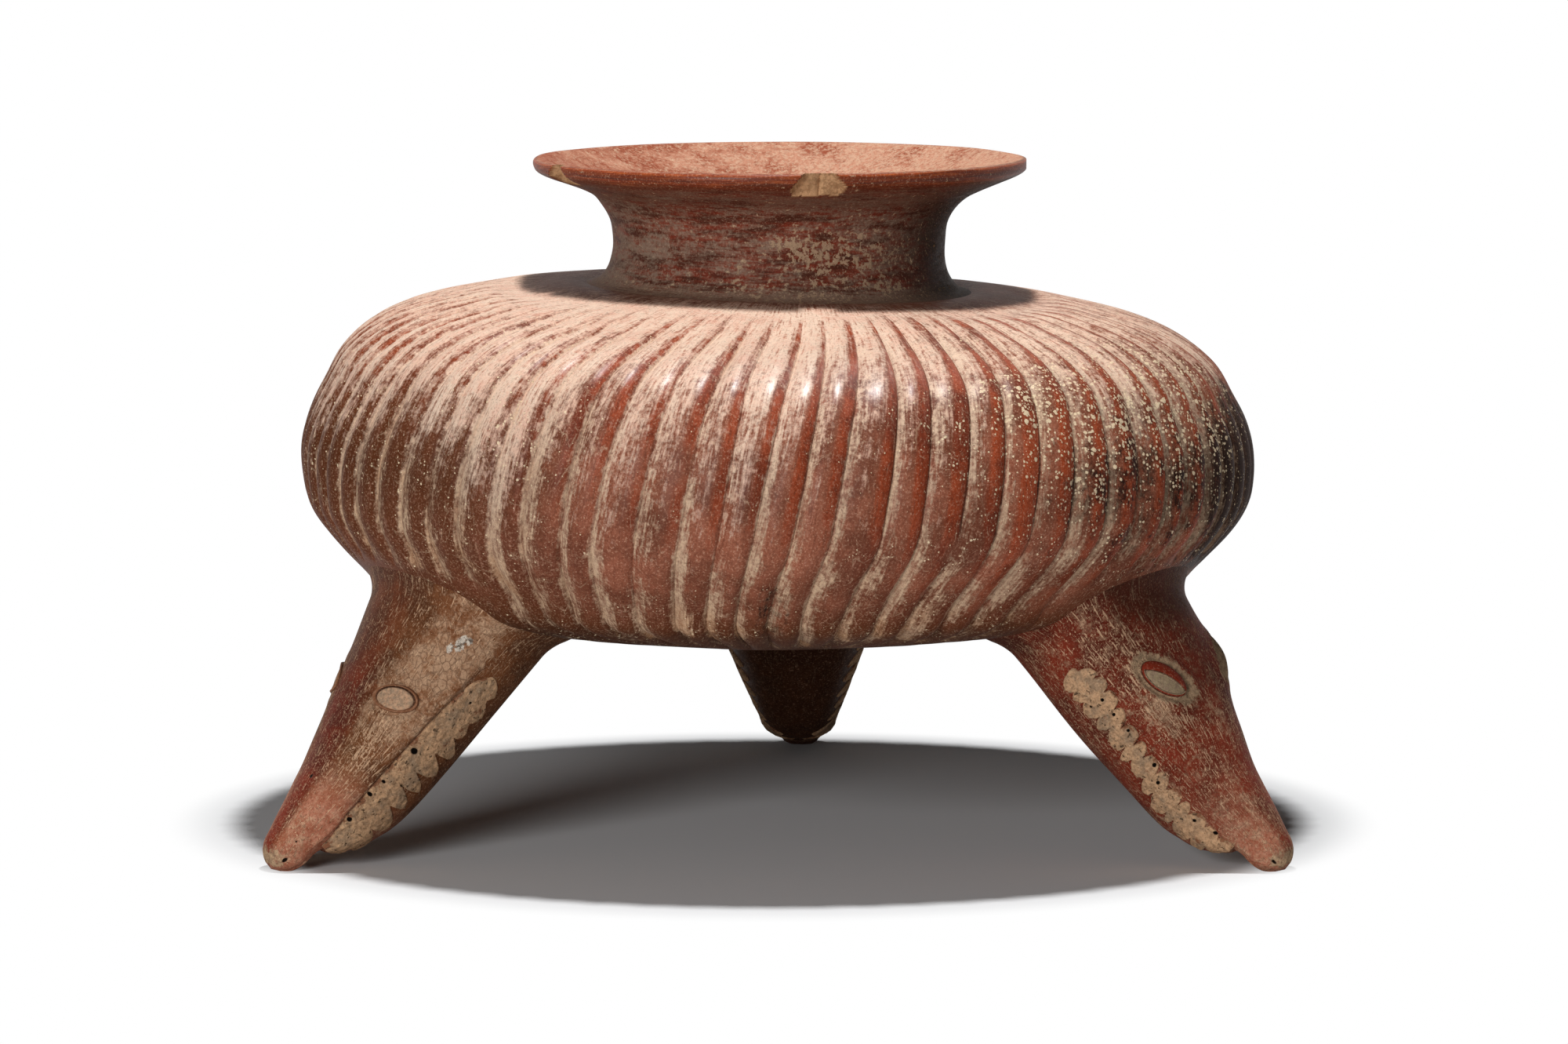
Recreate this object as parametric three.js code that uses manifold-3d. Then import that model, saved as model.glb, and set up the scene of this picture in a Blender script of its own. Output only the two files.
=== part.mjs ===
// Gadrooned tripod vessel of red-slipped earthenware.
// A squat ribbed body, a short flaring neck and three hollow legs, each shaped as a reptile head
// whose snout tip stands on the ground. Millimetres, +Z up, rear leg towards +Y.
// The clay parts that the potter made apart and luted together are separate solids.
import * as THREE from 'three';
import Module from 'manifold-3d';
import { mergeVertices } from 'three/addons/utils/BufferGeometryUtils.js';

const wasm = await Module();
wasm.setup();

// Body: radius over the ribs at the widest level, underside to neck seat, floor to underside
const bodyRadius = 165;
const bodyHeight = 122.5;
const standHeight = 66.6;
const bodyWall = 7.5;
const seamHeight = 46;
const seamRise = 5;
const jointGap = 0.3;

// Outline of the body, as shares of its radius and height, from the underside to the neck seat
const widestShare = 0.444;
const bodyRadiusShares = [0, 0.449, 0.775, 0.88, 1, 0.908, 0.524, 0.388];
const bodyHeightShares = [0, 0.042, 0.117, 0.211, widestShare, 0.834, 0.991, 1];

// Shoulder that settled lower on the right while the clay was soft
const shoulderLean = THREE.MathUtils.degToRad(1.6);
const leanRun = 60;

// Ribs round the body
const ribCount = 74;
const ribDepth = 2;
const ribTwist = THREE.MathUtils.degToRad(9);
const ribTwistStartShare = 0.44;
const ribPhaseShares = [0, 0.24, 0.76];
const ribHeightShares = [0, 1, 1];
const ribFadeShares = [0.27, 0.35, 0.79, 0.86];

// Rings of the body mesh, as shares along its outline
const bowlRingShares = [0.15, 0.27, 0.34, 0.4, 0.455];
const shoulderRingShares = [0.575, 0.62, 0.665, 0.72, 0.79, 0.86, 0.94];
const shoulderInnerShares = [0.6, 0.66, 0.72, 0.8, 0.9];

// Neck: height above its seat, narrowest and widest radius, wall and lip
const neckHeight = 45.5;
const neckRadius = 57.6;
const rimRadius = 86;
const neckWall = 6.5;
const lipThickness = 4.2;
const neckSeatWidth = 9;

// Outline of the neck, as shares of its height and of the flare between the narrowest and widest radius
const neckHeightShares = [0.03, 0.08, 0.25, 0.45, 0.62, 0.73, 0.81, 0.89];
const neckFlareShares = [0.14, 0.06, 0, 0.03, 0.15, 0.38, 0.63, 0.88];

// Rings of that outline which the throat repeats, from the lip down
const throatRings = [6, 5, 4, 3, 2];

// Reptile heads that serve as legs, with the snout tips standing out past the widest level of the body
const headLength = 130;
const headHalfWidth = 41;
const headRise = 31.5;
const headDrop = 31;
const snoutOverhang = 32.9;
const headReach = bodyRadius + snoutOverhang;
const headTilt = THREE.MathUtils.degToRad(40.5);
const headWall = 9;
const snoutRadius = 9;
const sectionPower = 2.2;
const tipWear = 0.8;

// Sections along a head from the snout tip, as shares of its length and of its size at the root
const stationShares = [0, 0.07, 0.1, 0.13, 0.17, 0.23, 0.31, 0.5, 0.69, 1];
const riseShares = [0.22, 0.235, 0.245, 0.255, 0.265, 0.285, 0.32, 0.49, 0.68, 1];
const dropShares = [0.22, 0.245, 0.26, 0.33, 0.5, 0.72, 0.87, 0.95, 0.97, 1];
const widthShares = [0.2, 0.245, 0.27, 0.3, 0.34, 0.4, 0.47, 0.635, 0.79, 1];
const headSides = 24;
const capSteps = 3;

// Lower jaw, parted from the head by a plane along the mouth
const jawStart = 19;
const chinNotch = 2.5;
const partingAtChin = 7;
const partingAtRoot = 12;

// Hollow inside each head
const hollowStart = 38;
const hollowHalfWidth = 17;
const hollowFloor = 3;
const hollowSides = 12;
const hollowSteps = 4;

// Strips of teeth along both sides of the mouth
const teethStart = 20;
const teethEnd = 92;
const toothCount = 9;
const toothDepth = 1.7;
const stripThickness = 1.4;
const stripBevelShare = 0.45;
const stripUpperAngle = THREE.MathUtils.degToRad(93);
const stripLowerAngle = THREE.MathUtils.degToRad(125);
const stripEndShare = 0.05;
const stripAcross = 3;
const stepsPerTooth = 3;

// Eyes: clay ovals pressed on the sides of each head
const eyeStation = 70;
const eyeAngle = THREE.MathUtils.degToRad(46);
const eyeHalfLength = 8.6;
const eyeHalfWidth = 5;
const eyeRelief = 3.2;

// The three heads: where they stand round the body, how their eyes slant, in degrees, and whether the
// upper margin of their strips has teeth too
const heads = [
  { name: 'front_left', azimuth: 210, eyeSlant: 23, upperTeeth: 0 },
  { name: 'front_right', azimuth: 329.7, eyeSlant: 60, upperTeeth: 1 },
  { name: 'rear', azimuth: 87.6, eyeSlant: 40, upperTeeth: 0 },
];

// Share of a size over which slopes are measured
const probeShare = 0.001;

function smooth(from, to, value) {
  return THREE.MathUtils.smoothstep(value, from, to);
}

// A closed shell from a stack of rings. A ring holds points counter-clockwise about the axis, or one
// point at a pole. Neighbouring rings have equal counts, or one count divides the other, and an edge of
// the finer ring is always tied to the same point of the coarser one, so that facing seams match.
function shellFromRings(rings, joinEnds) {
  const positions = [];
  const starts = [];
  for (const ring of rings) {
    starts.push(positions.length / 3);
    for (const point of ring) positions.push(point.x, point.y, point.z);
  }
  const faces = [];
  const last = joinEnds ? rings.length : rings.length - 1;
  for (let k = 0; k < last; k += 1) {
    const next = (k + 1) % rings.length;
    const low = rings[k].length;
    const high = rings[next].length;
    const steps = Math.max(low, high);
    const lowAt = (i) => starts[k] + (Math.floor((i * low) / steps) % low);
    const highAt = (i) => starts[next] + (Math.floor((i * high) / steps) % high);
    const lean = low < high ? 1 : 0;
    for (let i = 0; i < steps; i += 1) {
      if (lowAt(i) !== lowAt(i + 1)) faces.push(lowAt(i), lowAt(i + 1), highAt(i + lean));
      if (highAt(i) !== highAt(i + 1)) faces.push(lowAt(i + 1 - lean), highAt(i + 1), highAt(i));
    }
  }
  const geometry = new THREE.BufferGeometry();
  geometry.setAttribute('position', new THREE.Float32BufferAttribute(positions, 3));
  geometry.setIndex(faces);
  return geometry;
}

function ringAt(radius, height, count, phase) {
  const ring = [];
  for (let i = 0; i < count; i += 1) {
    const angle = phase + (i * 2 * Math.PI) / count;
    ring.push(new THREE.Vector3(radius * Math.cos(angle), radius * Math.sin(angle), height));
  }
  return ring;
}

// Solids for cutting and joining
function toSolid(geometry) {
  const bare = geometry.clone();
  bare.deleteAttribute('normal');
  bare.deleteAttribute('uv');
  const merged = mergeVertices(bare);
  const mesh = new wasm.Mesh({
    numProp: 3,
    vertProperties: Float32Array.from(merged.attributes.position.array),
    triVerts: Uint32Array.from(merged.index.array),
  });
  return new wasm.Manifold(mesh);
}

function toGeometry(solid) {
  const mesh = solid.getMesh();
  const geometry = new THREE.BufferGeometry();
  geometry.setAttribute('position', new THREE.BufferAttribute(mesh.vertProperties, 3));
  geometry.setIndex(new THREE.BufferAttribute(mesh.triVerts, 1));
  return geometry;
}

// Outline of the body: a smooth curve through the named shares
const bodyOutline = new THREE.SplineCurve(
  bodyRadiusShares.map((share, i) => new THREE.Vector2(share * bodyRadius, bodyHeightShares[i] * bodyHeight)),
);

// A point of the outline moved inwards, square to the curve
function outlineAt(share, inset) {
  const point = bodyOutline.getPointAt(share);
  const tangent = bodyOutline.getTangentAt(share);
  const atAxis = share === 0;
  const inwards = atAxis ? new THREE.Vector2(0, 1) : new THREE.Vector2(-tangent.y, tangent.x);
  return point.addScaledVector(inwards, inset);
}

// Share along the outline at which its inset copy reaches a height
function shareAtHeight(height, inset) {
  let low = ribFadeShares[0];
  let high = ribFadeShares[3];
  while (high - low > probeShare * probeShare) {
    const middle = (low + high) / 2;
    if (outlineAt(middle, inset).y < height) low = middle;
    else high = middle;
  }
  return low;
}

function ribStrength(share) {
  const [footOut, footFull, topFull, topOut] = ribFadeShares;
  return smooth(footOut, footFull, share) * (1 - smooth(topFull, topOut, share));
}

// Ribs run straight up the lower bowl and slant to one side over the shoulder
function ribPhase(share) {
  const slantShare = Math.max(0, share - ribTwistStartShare) / (ribFadeShares[3] - ribTwistStartShare);
  return -Math.PI / 2 + ribTwist * slantShare;
}

// A ribbed ring of the outside, lifted a little for the gap at a seam
function ribbedRing(share, lift) {
  const pitch = (2 * Math.PI) / ribCount;
  const ring = [];
  for (let rib = 0; rib < ribCount; rib += 1) {
    ribPhaseShares.forEach((phaseShare, i) => {
      const inset = ribDepth * ribStrength(share) * (1 - ribHeightShares[i]);
      const point = outlineAt(share, inset);
      const angle = ribPhase(share) + (rib + phaseShare) * pitch;
      const place = new THREE.Vector3(point.x * Math.cos(angle), point.x * Math.sin(angle), point.y + lift);
      ring.push(place);
    });
  }
  return ring;
}

function plainRing(share, inset, lift) {
  const point = outlineAt(share, inset);
  return ringAt(point.x, point.y + lift, ribCount, ribPhase(share));
}

function outerRing(share) {
  return ribStrength(share) > 0 ? ribbedRing(share, 0) : plainRing(share, 0, 0);
}

// Lean of the soft shoulder, which the level rim takes back
function settle(geometry) {
  const place = geometry.attributes.position;
  const widest = bodyHeight * widestShare;
  for (let i = 0; i < place.count; i += 1) {
    const height = place.getZ(i);
    const above = smooth(widest, widest + leanRun, height);
    const below = 1 - smooth(bodyHeight, bodyHeight + neckHeight, height);
    place.setZ(i, height - Math.tan(shoulderLean) * place.getX(i) * above * below);
  }
  return geometry;
}

const seamOuterShare = shareAtHeight(seamHeight, 0);
const seamInnerShare = shareAtHeight(seamHeight + seamRise, bodyWall);

// Lower bowl, up to a seam bevelled inwards
function lowerBowl() {
  const outer = bowlRingShares.map((share) => outerRing(share));
  const inner = bowlRingShares.map((share) => plainRing(share, bodyWall, 0)).reverse();
  return shellFromRings([
    [new THREE.Vector3(0, 0, 0)],
    ...outer,
    ribbedRing(seamOuterShare, 0),
    plainRing(seamInnerShare, bodyWall, 0),
    ...inner,
    [new THREE.Vector3(0, 0, bodyWall)],
  ], false);
}

// Seat of the neck: the opening of the shoulder is bevelled down towards the inside
const seatOuter = outlineAt(1, 0);
const seatInner = new THREE.Vector2(seatOuter.x - neckSeatWidth, seatOuter.y - bodyWall);

function shoulder() {
  const outer = shoulderRingShares.map((share) => outerRing(share));
  const inner = shoulderInnerShares.map((share) => plainRing(share, bodyWall, 0)).reverse();
  return settle(shellFromRings([
    ribbedRing(seamOuterShare, jointGap),
    ...outer,
    ringAt(seatOuter.x, seatOuter.y, ribCount, ribPhase(1)),
    ringAt(seatInner.x, seatInner.y, ribCount, ribPhase(1)),
    ...inner,
    plainRing(seamInnerShare, bodyWall, jointGap),
  ], true));
}

// Neck: outside up to the lip, round it, and down the throat to the seat
function neck() {
  const flare = rimRadius - neckRadius;
  const outside = neckHeightShares.map((share, i) => new THREE.Vector2(
    neckRadius + flare * neckFlareShares[i],
    seatOuter.y + share * neckHeight,
  ));
  const lipFoot = seatOuter.y + neckHeight - lipThickness;
  const lip = [
    new THREE.Vector2(rimRadius, lipFoot + lipThickness / 2),
    new THREE.Vector2(rimRadius - lipThickness / 4, lipFoot + lipThickness),
    new THREE.Vector2(rimRadius - lipThickness, lipFoot + lipThickness),
  ];
  const throat = throatRings.map((ring, i) => {
    const share = i / (throatRings.length - 1);
    const inwards = neckWall - (1 - share) * (lipThickness / 2);
    return new THREE.Vector2(outside[ring].x - inwards, outside[ring].y + (1 - share) * (lipThickness / 2));
  });
  const outline = [
    new THREE.Vector2(seatOuter.x, seatOuter.y + jointGap),
    ...outside,
    ...lip,
    ...throat,
    new THREE.Vector2(seatInner.x, seatInner.y + jointGap),
  ];
  const rings = outline.map((point) => ringAt(point.x, point.y, ribCount, ribPhase(1)));
  return settle(shellFromRings(rings, true));
}

// Size of a head at a distance from its snout tip: smooth curves through the named shares
const riseCurve = new THREE.SplineCurve(stationShares.map((at, i) => new THREE.Vector2(at, riseShares[i])));
const dropCurve = new THREE.SplineCurve(stationShares.map((at, i) => new THREE.Vector2(at, dropShares[i])));
const widthCurve = new THREE.SplineCurve(stationShares.map((at, i) => new THREE.Vector2(at, widthShares[i])));

function curveValue(curve, station) {
  const at = Math.min(station / headLength, 1);
  const last = stationShares.length - 1;
  const i = Math.min(stationShares.findLastIndex((share) => share <= at), last - 1);
  let low = i / last;
  let high = (i + 1) / last;
  while (high - low > probeShare * probeShare) {
    const middle = (low + high) / 2;
    if (curve.getPoint(middle).x < at) low = middle;
    else high = middle;
  }
  return curve.getPoint(low).y;
}

// Skin of a head in its own frame: Z from the snout tip to the root, Y towards the crown of the
// head, X to one side. The angle runs from the crown (0) over the side to the throat (pi).
function headSkin(station, angle) {
  const reach = Math.min(station / snoutRadius, 1);
  const cap = Math.sqrt(1 - (1 - reach) ** 2);
  const side = Math.sin(angle);
  const up = Math.cos(angle);
  const round = 2 / sectionPower;
  const rise = headRise * curveValue(riseCurve, station);
  const drop = headDrop * curveValue(dropCurve, station);
  const height = up > 0 ? rise : drop;
  const width = headHalfWidth * curveValue(widthCurve, station);
  return new THREE.Vector3(
    cap * width * Math.sign(side) * Math.abs(side) ** round,
    cap * height * Math.sign(up) * Math.abs(up) ** round,
    station,
  );
}

function skinNormal(station, angle) {
  const along = headLength * probeShare;
  const turn = probeShare;
  const alongSkin = headSkin(station + along, angle).sub(headSkin(station - along, angle));
  const roundSkin = headSkin(station, angle + turn).sub(headSkin(station, angle - turn));
  return roundSkin.cross(alongSkin).normalize().negate();
}

function offSkin(station, angle, distance) {
  const normal = skinNormal(station, angle);
  return headSkin(station, angle).addScaledVector(normal, distance);
}

function headStations() {
  const stations = [];
  for (let i = 1; i <= capSteps; i += 1) {
    stations.push(snoutRadius * (1 - Math.cos((i * Math.PI) / (2 * capSteps))));
  }
  stationShares.slice(2).forEach((share) => stations.push(share * headLength));
  return stations;
}

// Whole outer form of a head and jaw, optionally grown by a distance
function headForm(grow) {
  const rings = headStations().map((station) => {
    const ring = [];
    for (let i = 0; i < headSides; i += 1) {
      const angle = (-i * 2 * Math.PI) / headSides;
      ring.push(grow === 0 ? headSkin(station, angle) : offSkin(station, angle, grow));
    }
    return ring;
  });
  const tip = new THREE.Vector3(0, 0, -grow);
  const root = new THREE.Vector3(0, 0, headLength + grow);
  return toSolid(shellFromRings([[tip], ...rings, [root]], false));
}

// Hollow that opens at the root
function headHollow() {
  const rings = [];
  for (let k = 1; k <= hollowSteps; k += 1) {
    const station = hollowStart + ((headLength + headWall - hollowStart) * k) / hollowSteps;
    const roof = Math.max(headRise * curveValue(riseCurve, station) - headWall, hollowFloor);
    const width = hollowHalfWidth * Math.sqrt(k / hollowSteps);
    const ring = [];
    for (let i = 0; i < hollowSides; i += 1) {
      const angle = (i * 2 * Math.PI) / hollowSides;
      const height = Math.cos(angle) > 0 ? roof : hollowFloor;
      ring.push(new THREE.Vector3(-width * Math.sin(angle), height * Math.cos(angle), station));
    }
    rings.push(ring);
  }
  const start = new THREE.Vector3(0, 0, hollowStart);
  const end = new THREE.Vector3(0, 0, headLength + headWall);
  return toSolid(shellFromRings([[start], ...rings, [end]], false));
}

// Block below the mouth plane, from the chin to past the root
function mouthBlock(start, lower) {
  const end = headLength + headWall;
  const slope = (partingAtRoot - partingAtChin) / (headLength - jawStart);
  const partingAt = (station) => -partingAtChin - slope * (station - jawStart) - lower;
  const outline = new THREE.Shape([
    new THREE.Vector2(start, partingAt(start)),
    new THREE.Vector2(start, -2 * headDrop),
    new THREE.Vector2(end, -2 * headDrop),
    new THREE.Vector2(end, partingAt(end)),
  ]);
  const width = 4 * headHalfWidth;
  const block = new THREE.ExtrudeGeometry(outline, { depth: width, bevelEnabled: false });
  block.rotateY(-Math.PI / 2);
  block.translate(width / 2, 0, 0);
  return toSolid(block);
}

// Place of a head in the plane of its leg, with X pointing away from the body
function headPlacement(tipHeight) {
  const sideways = new THREE.Vector3(0, -1, 0);
  const crown = new THREE.Vector3(Math.cos(headTilt), 0, Math.sin(headTilt));
  const rootwards = new THREE.Vector3(-Math.sin(headTilt), 0, Math.cos(headTilt));
  return new THREE.Matrix4().makeBasis(sideways, crown, rootwards).setPosition(headReach, 0, tipHeight);
}

// Height of the snout tip that sinks its lowest point by the worn amount below the floor
function snoutTipHeight() {
  const tilt = headPlacement(0);
  let lowest = 0;
  for (const station of headStations()) {
    lowest = Math.min(lowest, headSkin(station, Math.PI).applyMatrix4(tilt).z);
  }
  return -lowest - tipWear;
}

const placement = headPlacement(snoutTipHeight());
const toHeadFrame = placement.clone().invert();

// The body as a plain solid, one gap larger, and the ground, both in the frame of a head
function bodyCutter() {
  const shares = [...bowlRingShares, seamOuterShare, ...shoulderRingShares];
  const rings = shares.map((share) => {
    const point = outlineAt(share, -jointGap);
    return ringAt(point.x, point.y, 2 * ribCount, 0);
  });
  const top = rings.at(-1)[0].z;
  const geometry = shellFromRings([
    [new THREE.Vector3(0, 0, -jointGap)],
    ...rings,
    [new THREE.Vector3(0, 0, top)],
  ], false);
  geometry.translate(0, 0, standHeight);
  geometry.applyMatrix4(toHeadFrame);
  return toSolid(geometry);
}

function groundCutter() {
  const size = 4 * headHalfWidth;
  const geometry = new THREE.BoxGeometry(size, size, size);
  geometry.translate(headReach, 0, -size / 2);
  geometry.applyMatrix4(toHeadFrame);
  return toSolid(geometry);
}

const headBody = bodyCutter();
const wholeHead = headForm(0).subtract(headBody);
const grownHead = headForm(jointGap);

const headGeometry = toGeometry(
  wholeHead
    .subtract(mouthBlock(jawStart - chinNotch, 0))
    .subtract(headHollow())
    .subtract(groundCutter()),
);
const jawGeometry = toGeometry(wholeHead.intersect(mouthBlock(jawStart, jointGap)));

// A strip of teeth: thin clay that follows the skin of the head, with scalloped margins
function teethGeometry(side, upperTeeth) {
  const steps = toothCount * stepsPerTooth;
  const rings = [];
  for (let k = 0; k <= steps; k += 1) {
    const share = k / steps;
    const station = teethStart + (teethEnd - teethStart) * share;
    const girth = headHalfWidth * curveValue(widthCurve, station);
    const tooth = Math.abs(Math.sin((Math.PI * k) / stepsPerTooth));
    const round = Math.sqrt(1 - (2 * Math.max(share, 1 - share) - 1) ** 4);
    const taper = stripEndShare + (1 - stripEndShare) * round;
    const middle = (stripUpperAngle + stripLowerAngle) / 2;
    const half = ((stripLowerAngle - stripUpperAngle) / 2) * taper;
    const upper = middle - half - (upperTeeth * tooth * toothDepth * taper) / girth;
    const lower = middle + half + (tooth * toothDepth * taper) / girth;
    const ring = [];
    for (let i = 0; i <= stripAcross; i += 1) {
      const angle = upper + ((lower - upper) * i) / stripAcross;
      const atEdge = i === 0 || i === stripAcross;
      const height = jointGap + stripThickness * (atEdge ? stripBevelShare : 1);
      ring.push(offSkin(station, side * angle, height));
    }
    for (let i = stripAcross; i >= 0; i -= 1) {
      const angle = upper + ((lower - upper) * i) / stripAcross;
      ring.push(offSkin(station, side * angle, jointGap));
    }
    rings.push(side > 0 ? ring.reverse() : ring);
  }
  const middleOf = (ring) => ring.reduce((sum, point) => sum.add(point), new THREE.Vector3())
    .divideScalar(ring.length);
  return shellFromRings([[middleOf(rings[0])], ...rings, [middleOf(rings.at(-1))]], false);
}

// An eye: an oval lens, cut underneath by the skin of the head
function eyeGeometry(side, slant) {
  const angle = side * eyeAngle;
  const outwards = skinNormal(eyeStation, angle);
  const rootwards = new THREE.Vector3(0, 0, 1);
  const across = new THREE.Vector3().crossVectors(outwards, rootwards).normalize().multiplyScalar(side);
  const along = new THREE.Vector3().crossVectors(outwards, across).normalize();
  if (along.z < 0) along.negate();
  const turn = THREE.MathUtils.degToRad(slant);
  const long = across.clone().multiplyScalar(Math.cos(turn)).addScaledVector(along, Math.sin(turn));
  const short = new THREE.Vector3().crossVectors(outwards, long);
  const lens = new THREE.SphereGeometry(1, 16, 8);
  lens.scale(eyeHalfLength, eyeHalfWidth, eyeRelief + jointGap);
  lens.applyMatrix4(new THREE.Matrix4().makeBasis(long, short, outwards));
  const centre = headSkin(eyeStation, angle);
  lens.translate(centre.x, centre.y, centre.z);
  return toGeometry(toSolid(lens).subtract(grownHead));
}

function clay(colour, roughness) {
  return new THREE.MeshStandardMaterial({ color: colour, roughness, metalness: 0 });
}

function piece(name, geometry, material) {
  geometry.computeVertexNormals();
  const mesh = new THREE.Mesh(geometry, material);
  mesh.name = name;
  return mesh;
}

const vessel = new THREE.Group();

const pot = new THREE.Group();
pot.position.z = standHeight;
pot.add(piece('lower_bowl', lowerBowl(), clay(0x8c4a35, 0.5)));
pot.add(piece('shoulder', shoulder(), clay(0xa8654f, 0.45)));
pot.add(piece('neck', neck(), clay(0x7d4335, 0.5)));
vessel.add(pot);

for (const { name, azimuth, eyeSlant, upperTeeth } of heads) {
  const leg = new THREE.Group();
  leg.rotation.z = THREE.MathUtils.degToRad(azimuth);
  const head = new THREE.Group();
  placement.decompose(head.position, head.quaternion, head.scale);
  head.add(piece(`${name}_head`, headGeometry, clay(0x84503a, 0.55)));
  head.add(piece(`${name}_jaw`, jawGeometry, clay(0x6f3a2a, 0.55)));
  for (const [sideName, side] of [['right', 1], ['left', -1]]) {
    head.add(piece(`${name}_teeth_${sideName}`, teethGeometry(side, upperTeeth), clay(0xa38a70, 0.9)));
    head.add(piece(`${name}_eye_${sideName}`, eyeGeometry(side, eyeSlant), clay(0x9b7a60, 0.85)));
  }
  leg.add(head);
  vessel.add(leg);
}

// The origin is the bottom centre of the whole vessel
const reach = new THREE.Box3().setFromObject(vessel, true);
vessel.position.set(-(reach.min.x + reach.max.x) / 2, -(reach.min.y + reach.max.y) / 2, -reach.min.z);

export default vessel;
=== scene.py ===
"""Looks of a gadrooned tripod vessel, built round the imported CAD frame.

Shapes are worked out in millimetres in the pot's own frame: its axis is at x = y = 0, the floor at z = 0
and the rear leg towards +Y. They become metres in the row frame when a mesh is made.
"""
import math
from collections import namedtuple
from types import SimpleNamespace

import bpy
import numpy as np
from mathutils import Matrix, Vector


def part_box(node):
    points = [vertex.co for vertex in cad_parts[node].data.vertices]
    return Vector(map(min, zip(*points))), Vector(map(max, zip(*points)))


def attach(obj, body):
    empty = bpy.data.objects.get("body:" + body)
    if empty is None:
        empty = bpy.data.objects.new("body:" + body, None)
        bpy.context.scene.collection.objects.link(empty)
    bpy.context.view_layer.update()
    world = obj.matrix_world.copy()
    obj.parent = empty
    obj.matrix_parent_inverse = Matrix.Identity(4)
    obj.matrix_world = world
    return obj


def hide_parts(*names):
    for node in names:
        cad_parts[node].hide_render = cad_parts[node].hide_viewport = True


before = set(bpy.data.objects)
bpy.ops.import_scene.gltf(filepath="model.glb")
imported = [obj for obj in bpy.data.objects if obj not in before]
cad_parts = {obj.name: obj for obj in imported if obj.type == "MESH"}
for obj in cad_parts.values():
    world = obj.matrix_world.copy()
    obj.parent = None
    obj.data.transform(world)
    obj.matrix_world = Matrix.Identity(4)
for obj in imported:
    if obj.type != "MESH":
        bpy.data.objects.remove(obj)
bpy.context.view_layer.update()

# Where the pot's axis stands in the row frame, in metres
neck_low, neck_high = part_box("neck")
AXIS = np.array([(neck_low[0] + neck_high[0]) / 2, (neck_low[1] + neck_high[1]) / 2, 0.0])
MM = 0.001

# Body, as the CAD source has it, in millimetres
BODY_RADIUS = 165.0
BODY_HEIGHT = 122.5
STAND_HEIGHT = 66.6
BODY_WALL = 7.5
SEAM_HEIGHT = 46.0
SEAM_RISE = 5.0
WIDEST_SHARE = 0.444
BODY_SHARES = np.array([
    (0, 0), (0.449, 0.042), (0.775, 0.117), (0.88, 0.211), (1, WIDEST_SHARE), (0.908, 0.834),
    (0.524, 0.991), (0.388, 1),
])
LEAN = math.radians(1.6)
LEAN_RUN = 60.0

# Ribs, as the CAD source has them
RIB_COUNT = 74
RIB_DEPTH = 2.3
RIB_TWIST = math.radians(9)
RIB_TWIST_START = 0.44
RIB_TWIST_END = 0.86
RIB_FADE = (0.25, 0.35, 0.80, 0.905)
PITCH = 2 * math.pi / RIB_COUNT

# Neck
NECK_HEIGHT = 45.5
NECK_SEAT = 9.0
NECK_OUTSIDE = np.array([
    (70.0, 188.2), (67.0, 189.3), (63.6, 190.4), (60.9, 192.8), (58.9, 196.4), (57.7, 201.7),
    (57.8, 207.1), (58.7, 212.6), (61.3, 217.4), (65.3, 221.2), (70.6, 223.8), (77.4, 226.5),
    (82.6, 228.6), (85.2, 230.2),
])
NECK_LIP = np.array([(85.9, 231.8), (86.0, 233.2), (85.5, 234.1), (84.0, 234.5), (81.6, 234.0)])
NECK_THROAT = np.array([
    (77.6, 232.0), (71.0, 228.9), (64.6, 225.4), (59.0, 221.0), (54.6, 215.4), (52.2, 209.0),
    (51.2, 202.0), (52.0, 194.0), (54.6, 184.5), (55.2, 181.9),
])
RIM_RADIUS = 86.0

# Heads
HEAD_LENGTH = 130.0
HEAD_WIDTH = 41.0
HEAD_RISE = 31.5
HEAD_DROP = 31.0
HEAD_REACH = 197.9
HEAD_TILT = math.radians(40.5)
SNOUT_RADIUS = 9.0
SECTION_POWER = 2.2
TIP_WEAR = 0.8
STATIONS = np.array([0, 0.07, 0.1, 0.13, 0.17, 0.23, 0.31, 0.5, 0.69, 1])
RISES = np.array([0.22, 0.235, 0.245, 0.255, 0.265, 0.285, 0.32, 0.49, 0.68, 1])
DROPS = np.array([0.22, 0.245, 0.26, 0.33, 0.5, 0.72, 0.87, 0.95, 0.97, 1])
WIDTHS = np.array([0.2, 0.245, 0.27, 0.3, 0.34, 0.4, 0.47, 0.635, 0.79, 1])
JAW_START = 19.0
PARTING_AT_CHIN = 7.0
PARTING_AT_ROOT = 12.0
EYE_ANGLE = math.radians(46)
EYE_LONG = 9.2
EYE_WIDE = 5.5
EYE_HEIGHT = 1.7
EYE_GIRTH = 0.9
BAND_START = 15.5
BAND_END = 93.5
FILLET = 7.5

# How finely curves are sampled
CURVE_STEPS = 4001
HEAD_CURVE_STEPS = 3001


def smooth(start, end, value):
    """Smooth step: 0 up to start, 1 from end, and 3t^2 - 2t^3 between them."""
    t = np.clip((value - start) / (end - start), 0, 1)
    return t * t * (3 - 2 * t)


def fall(start, end, value):
    """1 up to start and 0 from end: 1 less the smooth step."""
    return 1 - smooth(start, end, value)


def span(rise_start, rise_end, fall_start, fall_end, value):
    """Rises from 0 to 1 between the first two places and falls back between the last two."""
    return smooth(rise_start, rise_end, value) * fall(fall_start, fall_end, value)


def bump(centre, width, value):
    """A bell: exp(-((value - centre) / width)^2)."""
    return np.exp(-(((value - centre) / width) ** 2))


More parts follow.
